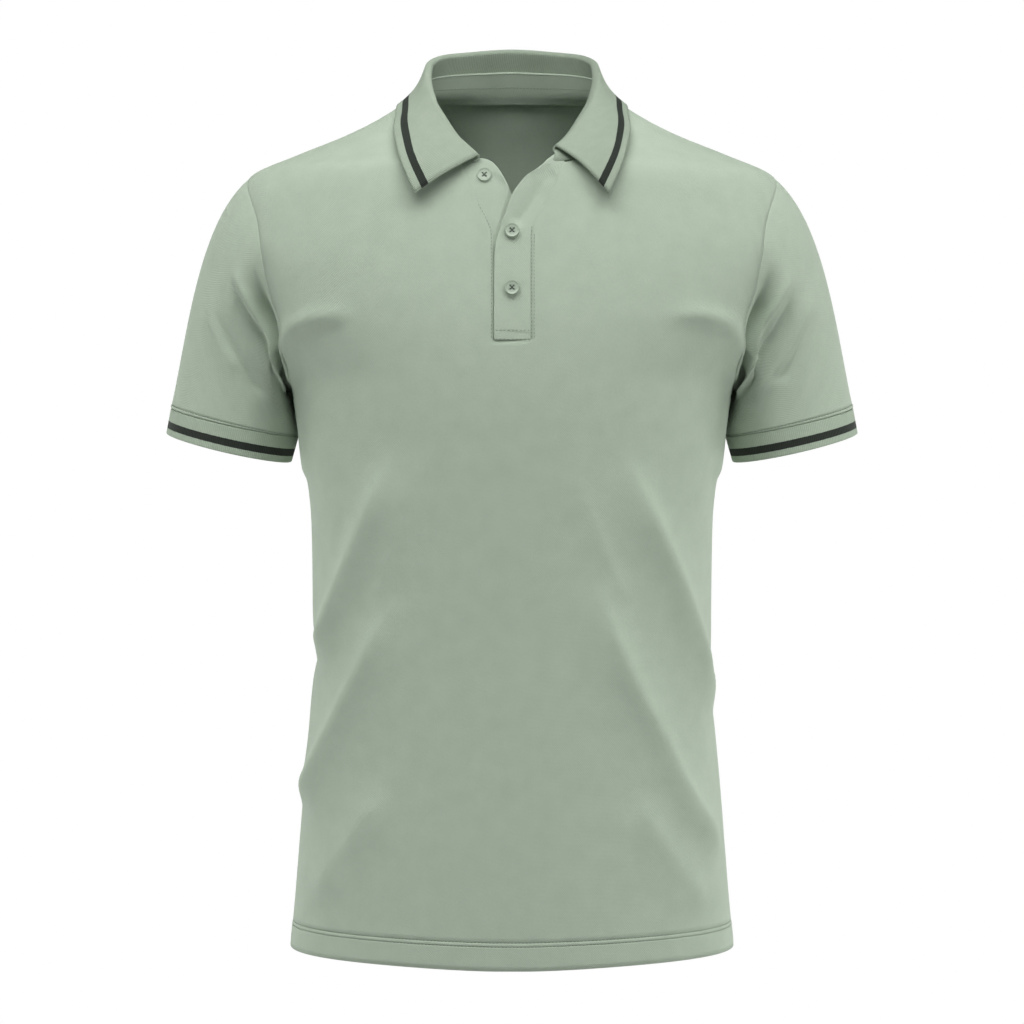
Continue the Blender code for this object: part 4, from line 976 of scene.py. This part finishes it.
# ---------------------------------------------------------------- plackets
# Two folded strips of pique close the neck slit: the upper, on the wearer's left, laps over the under one.
# They open into a V at the throat, where their corners roll outwards. Rows of topstitching hold them down.
Rolled = namedtuple("Rolled", "seam_height free_x free_height")  # the free edge beside each seam height
UPPER_FREE = (
    Rolled(-0.2073, -0.0142, -0.2073),
    Rolled(-0.150, -0.0142, -0.150),
    Rolled(-0.136, -0.0138, -0.136),
    Rolled(-0.119, -0.0095, -0.119),
    Rolled(-0.104, -0.0045, -0.104),
    Rolled(-0.0905, 0.0004, -0.0905),
    Rolled(-0.0835, 0.0064, -0.0816),
    Rolled(-0.0775, 0.0120, -0.0754),
    Rolled(-0.0720, 0.0179, -0.0716),
    Rolled(-0.0680, 0.0235, -0.0672),
    Rolled(-0.0650, 0.0310, -0.0608),
    Rolled(-0.0620, 0.0390, -0.0555),
)
UNDER_FREE = (
    Rolled(-0.2073, -0.0142, -0.2073),
    Rolled(-0.150, -0.0142, -0.150),
    Rolled(-0.122, -0.0139, -0.122),
    Rolled(-0.110, -0.0097, -0.110),
    Rolled(-0.0985, -0.0037, -0.0985),
    Rolled(-0.0905, 0.0002, -0.0905),
    Rolled(-0.0835, 0.0030, -0.0834),
    Rolled(-0.0775, 0.0070, -0.0758),
    Rolled(-0.0720, 0.0118, -0.0684),
    Rolled(-0.0680, 0.0165, -0.0640),
    Rolled(-0.0650, 0.0210, -0.0618),
    Rolled(-0.0620, 0.0290, -0.0605),
)
PLACKET_FOLDS = (
    Fold(((14, -0.080), (8, -0.098), (1, -0.116)), 0.0042, 0.0042, -0.0020),
    Fold(((20, -0.072), (9, -0.086)), 0.0035, 0.0035, -0.0012),
    Fold(((-2, -0.086), (-9, -0.074)), 0.0030, 0.0030, -0.0010),
)
UPPER_LIFT, UNDER_LIFT = CLOTH / 2, -CLOTH / 2 - 0.0004
PLACKET_COLUMNS, PLACKET_ROWS = 28, 110
LAP_EASE, EDGE_ROLL = 0.0035, 0.0016
TUCK, TUCK_DROP = 0.0012, 0.00015  # how far a placket's seam edge goes under the front's, and how deep
V_BOTTOM = -0.0905  # height where the two free edges part


def placket_places(side, free):
    """(angle, height, share across) over a placket, from its seam to its free edge and from bottom to top."""
    v = np.linspace(0, 1, PLACKET_ROWS + 1)
    share = np.linspace(0, 1, PLACKET_COLUMNS + 1)[:, None]
    seam_height = PLACKET_END + (NOTCH_TOP - PLACKET_END) * v
    seam_x = PLACKET_WIDTH / 2 + opening(seam_height) + TUCK
    free_x, free_height = curve(free, "free_x")(seam_height), curve(free, "free_height")(seam_height)
    x, height = seam_x * (1 - share) + free_x * share, seam_height * (1 - share) + free_height * share
    return side * angle_at(x, height), height, share + 0 * v


def placket_lift(angles, heights, shares, lap, roll):
    """Lift of a placket's face from its lap and its rolled free edge, with its seam edge tucked under."""
    tuck = TUCK_DROP * (1 - eased_in(shares / 0.3))
    return lap + roll - tuck + fold_lift(PLACKET_FOLDS, angles, heights, 0.11 * pi / 180, 1.0)


angles, heights, shares = placket_places(1, UPPER_FREE)
upper_lap = UPPER_LIFT * eased_in(shares / 0.9)
upper_roll = EDGE_ROLL * eased_in((heights + 0.118) / 0.02) * eased_in((shares - 0.55) / 0.45)
upper_lift = placket_lift(angles, heights, shares, upper_lap, upper_roll)
upper_points = body_point(angles, heights, upper_lift)
angles, heights, shares = placket_places(-1, UNDER_FREE)
covered = smooth_point(angles, heights)[..., 0] - curve(UPPER_FREE, "free_x")(np.minimum(heights, V_BOTTOM))
under_lap = UNDER_LIFT * eased_in(covered / LAP_EASE + 1)
under_roll = EDGE_ROLL * 0.6 * eased_in((shares - 0.6) / 0.4) * eased_in((heights + 0.088) / 0.012)
under_lift = placket_lift(angles, heights, shares, under_lap, under_roll)
under_points = body_point(angles, heights, under_lift)
for node_name, points in (("placket_upper", upper_points[::-1]), ("placket_under", under_points)):
    placket = cloth(f"{node_name}_strip", points, measured(points), CLOTH, pique)
    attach(placket, "root")
    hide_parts(node_name)


# ---------------------------------------------------------------- neck tape
# A strip of the same cloth covers the neck seam inside the collar. It is sewn to the collar's stand along its
# upper edge and to the panels along its lower edge, from one placket round the back to the other.
TAPE, TAPE_OFF, TAPE_ROWS = 0.0010, 0.0006, 16
TAPE_TOP, TAPE_BELOW = 0.165, 0.0085  # share of the collar's profile, and reach below the neck seam
tape_angles = np.linspace(NOTCH_ANGLE + 1.0, 180, 81)[:, None]
up_stand = np.linspace(TAPE_TOP, 0.02, TAPE_ROWS - 5)[None]
down_panel = np.linspace(0.0006, TAPE_BELOW, 6)[None]
on_stand = collar_face(tape_angles, up_stand, RIB / 2 + TAPE_OFF + TAPE + 0 * up_stand * tape_angles)
neck = neck_seam(tape_angles)
millimetre_down = smooth_point(tape_angles, neck - 0.001) - smooth_point(tape_angles, neck)
heights = neck - down_panel / (np.linalg.norm(millimetre_down, axis=-1) / 0.001)
on_panel = body_point(tape_angles + 0 * heights, heights, -CLOTH - TAPE_OFF * 1.5 - TAPE + 0 * heights)
left_tape = np.concatenate([on_stand, on_panel], axis=1)
tape_points = round_the_neck(left_tape, left_tape * MIRROR)
# The tape's pique is the body's cloth made a little darker: painted shade inside the neck, besides the
# painted shade in its dips.
tape_cloth_shaded = pique_material("tape_pique", (0.37, 0.45, 0.355), (0.49, 0.58, 0.465))
tape = cloth("neck_tape_strip", tape_points[::-1], measured(tape_points)[::-1], TAPE, tape_cloth_shaded)
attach(tape, "root")
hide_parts("neck_tape")


# ---------------------------------------------------------------- topstitching
# Rows of lockstitch in sage thread hold the plackets, the cuff seams, the hem and the neck tape. Each stitch
# lies a little sunk in the cloth, between two needle holes.
STITCH_PITCH, STITCH_LENGTH, STITCH_WIDTH = 0.0029, 0.0022, 0.0005
STITCH_LIFT = 0.0001  # of a stitch's middle above the cloth's face
SIDE_CLEAR = slice(3, -3)  # columns of a panel between the side seams, where the hem's rows end


def twist_group():
    """The fine slanting twist of sewing thread."""
    inputs = {"Twists": 900.0, "Waver": 1.5}
    group, given, put_out = empty_group("thread_twist", inputs, (("Normal", "Vector"),))
    place = node(group, "TexCoord").outputs["Object"]
    slants = node(group, "TexWave", {"Vector": place, "Scale": given["Twists"], "Distortion": given["Waver"]})
    group.links.new(bumped(group, slants.outputs["Fac"], 0.0001), put_out["Normal"])
    return group


def thread_material(name, colour, twists, waver):
    material = plain_material(name, colour, 0.7)
    tree = material.node_tree
    twist = node(tree, "Group", {"Twists": twists, "Waver": waver}, node_tree=thread_twist).outputs[0]
    tree.links.new(twist, tree.nodes["Principled BSDF"].inputs["Normal"])
    return material


def spaced(line, normals):
    """Places, directions and normals along a line of points, one for each stitch."""
    steps = np.linalg.norm(np.diff(line, axis=0), axis=1)
    lengths = np.concatenate([[0], np.cumsum(steps)])
    count = max(2, int(lengths[-1] / STITCH_PITCH))
    at = (np.arange(count) + 0.5) * lengths[-1] / count

    def read(values, where):
        return np.stack([np.interp(where, lengths, values[:, axis]) for axis in range(3)], axis=-1)

    ahead = unit(read(line, at + STITCH_PITCH / 4) - read(line, at - STITCH_PITCH / 4))
    return read(line, at), ahead, unit(read(normals, at))


def stitches(name, lines):
    """One mesh of stitches along several (points, normals) lines."""
    bm = bmesh.new()
    for line, normals in lines:
        for place, ahead, up in zip(*spaced(line, normals)):
            across = np.cross(up, ahead)
            axes = Matrix((ahead * STITCH_LENGTH / 2, across * STITCH_WIDTH / 2, up * STITCH_WIDTH * 0.45))
            placed = Matrix.Translation(place) @ axes.transposed().to_4x4()
            bmesh.ops.create_icosphere(bm, subdivisions=1, radius=1.0, matrix=placed)
    bmesh.ops.recalc_face_normals(bm, faces=bm.faces)
    obj = add_object(name, bm, thread)
    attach(obj, "root")
    return obj


def body_line(angles, heights, lift):
    return body_point(angles, heights, lift + 0 * heights), body_normal(angles, heights)


thread_twist = twist_group()
thread = thread_material("sage_thread", (0.20, 0.255, 0.19), 900.0, 1.5)
rows = []
for offset, row_top in ((0.0009, -0.116), (0.0029, -0.122)):
    down_seam = np.linspace(-0.2060, row_top, 90)
    rows.append(body_line(angle_at(PLACKET_WIDTH / 2 + offset, down_seam), down_seam, STITCH_LIFT * 2))
down_seam = np.linspace(-0.2060, -0.0980, 90)
beside_seam = PLACKET_WIDTH / 2 + opening(down_seam) + 0.0016
rows.append(body_line(-angle_at(beside_seam, down_seam), down_seam, STITCH_LIFT * 2))
across_box = np.linspace(-PLACKET_WIDTH / 2 + 0.0008, PLACKET_WIDTH / 2 + 0.0004, 30)
for height in (-0.1997, -0.2066):
    rows.append(body_line(angle_at(across_box, height), height + 0 * across_box, UPPER_LIFT + STITCH_LIFT))
stitches("placket_stitches", rows)

turns = np.linspace(0, 360, 241)
t = 1 - CUFF_ALLOWANCE / SLEEVE_ROWS + 0 * turns
normals = outward(sleeve_middle, turns, t, 0.5, 0.01)
for which, mirror in (("left", 1), ("right", MIRROR)):
    line = sleeve_point(turns, t, sleeve_folds[which], 0 * turns - GROOVE_DEPTH * 0.5)
    stitches(f"cuff_{which}_stitches", [(line * mirror, normals * mirror)])

rows = []
on_tape = np.linspace(NOTCH_ANGLE + 3.0, 180, 120)
for v in (TAPE_TOP - 0.012, 0.045):
    line = collar_face(on_tape, v, RIB / 2 + TAPE_OFF + TAPE + STITCH_LIFT + 0 * on_tape)
    normals = -outward(collar_middle, on_tape, v + 0 * on_tape, 0.5, 0.01)
    rows += [(line, normals), (line * MIRROR, normals * MIRROR)]
stitches("neck_tape_stitches", rows)

for which, grid, outer_points in (("front", front_angles, front_points), ("back", back_angles, back_points)):
    rows = []
    for height in HEM_ROWS:
        row = int(np.argmin(np.abs(row_places - height / ROW_HEIGHT)))
        normals = body_normal(grid[SIDE_CLEAR, row, 0], grid[SIDE_CLEAR, row, 1])
        rows.append((outer_points[SIDE_CLEAR, row] + normals * STITCH_LIFT, normals))
    stitches(f"hem_{which}_stitches", rows)


# ---------------------------------------------------------------- buttons
# Three four-hole buttons of sage plastic with a raised rim, each sewn on with crossed thread. The top one
# sits on the under placket and is left open; the other two close the placket.
DISH = 0.0007  # how far the threads lie below the rim
HOLE_OFFSET, THREAD_WIDTH, THREAD_OVERHANG = 0.0014, 0.00045, 0.0006
button_plastic = plain_material("sage_button", (0.36, 0.44, 0.34), 0.38)
button_tree = button_plastic.node_tree
button_place = node(button_tree, "TexCoord").outputs["Object"]
cloudy = node(button_tree, "TexNoise", {"Vector": button_place, "Scale": 260.0, "Detail": 2.0}).outputs[0]
button_colour = mixed(button_tree, cloudy, (0.33, 0.41, 0.315), (0.42, 0.50, 0.40))
button_tree.links.new(button_colour, button_tree.nodes["Principled BSDF"].inputs["Base Color"])
dark_thread = thread_material("moss_thread", (0.085, 0.11, 0.08), 1200.0, 1.0)
thread_size = Matrix.Diagonal((HOLE_OFFSET * 1.414 + THREAD_OVERHANG, THREAD_WIDTH, THREAD_WIDTH, 1))
for name in ("button_1", "button_2", "button_3"):
    for material_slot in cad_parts[name].material_slots:
        material_slot.material = button_plastic
    low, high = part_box(name)
    centre = (Vector(low) + Vector(high)) / 2
    facing = Vector(body_normal(np.sign(centre.x) * angle_at(abs(centre.x), centre.z), centre.z))
    rim = max((vert.co - centre).dot(facing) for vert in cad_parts[name].data.vertices)
    turned = facing.to_track_quat("Z", "Y").to_matrix().to_4x4()
    across_holes = Matrix.Translation(centre + facing * (rim - DISH)) @ turned
    cross_bm = bmesh.new()
    for lean in (45, -45):
        placed = across_holes @ Matrix.Rotation(radians(lean), 4, "Z") @ thread_size
        bmesh.ops.create_icosphere(cross_bm, subdivisions=2, radius=1.0, matrix=placed)
    cross = add_object(f"{name}_thread", cross_bm, dark_thread)
    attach(cross, "root")
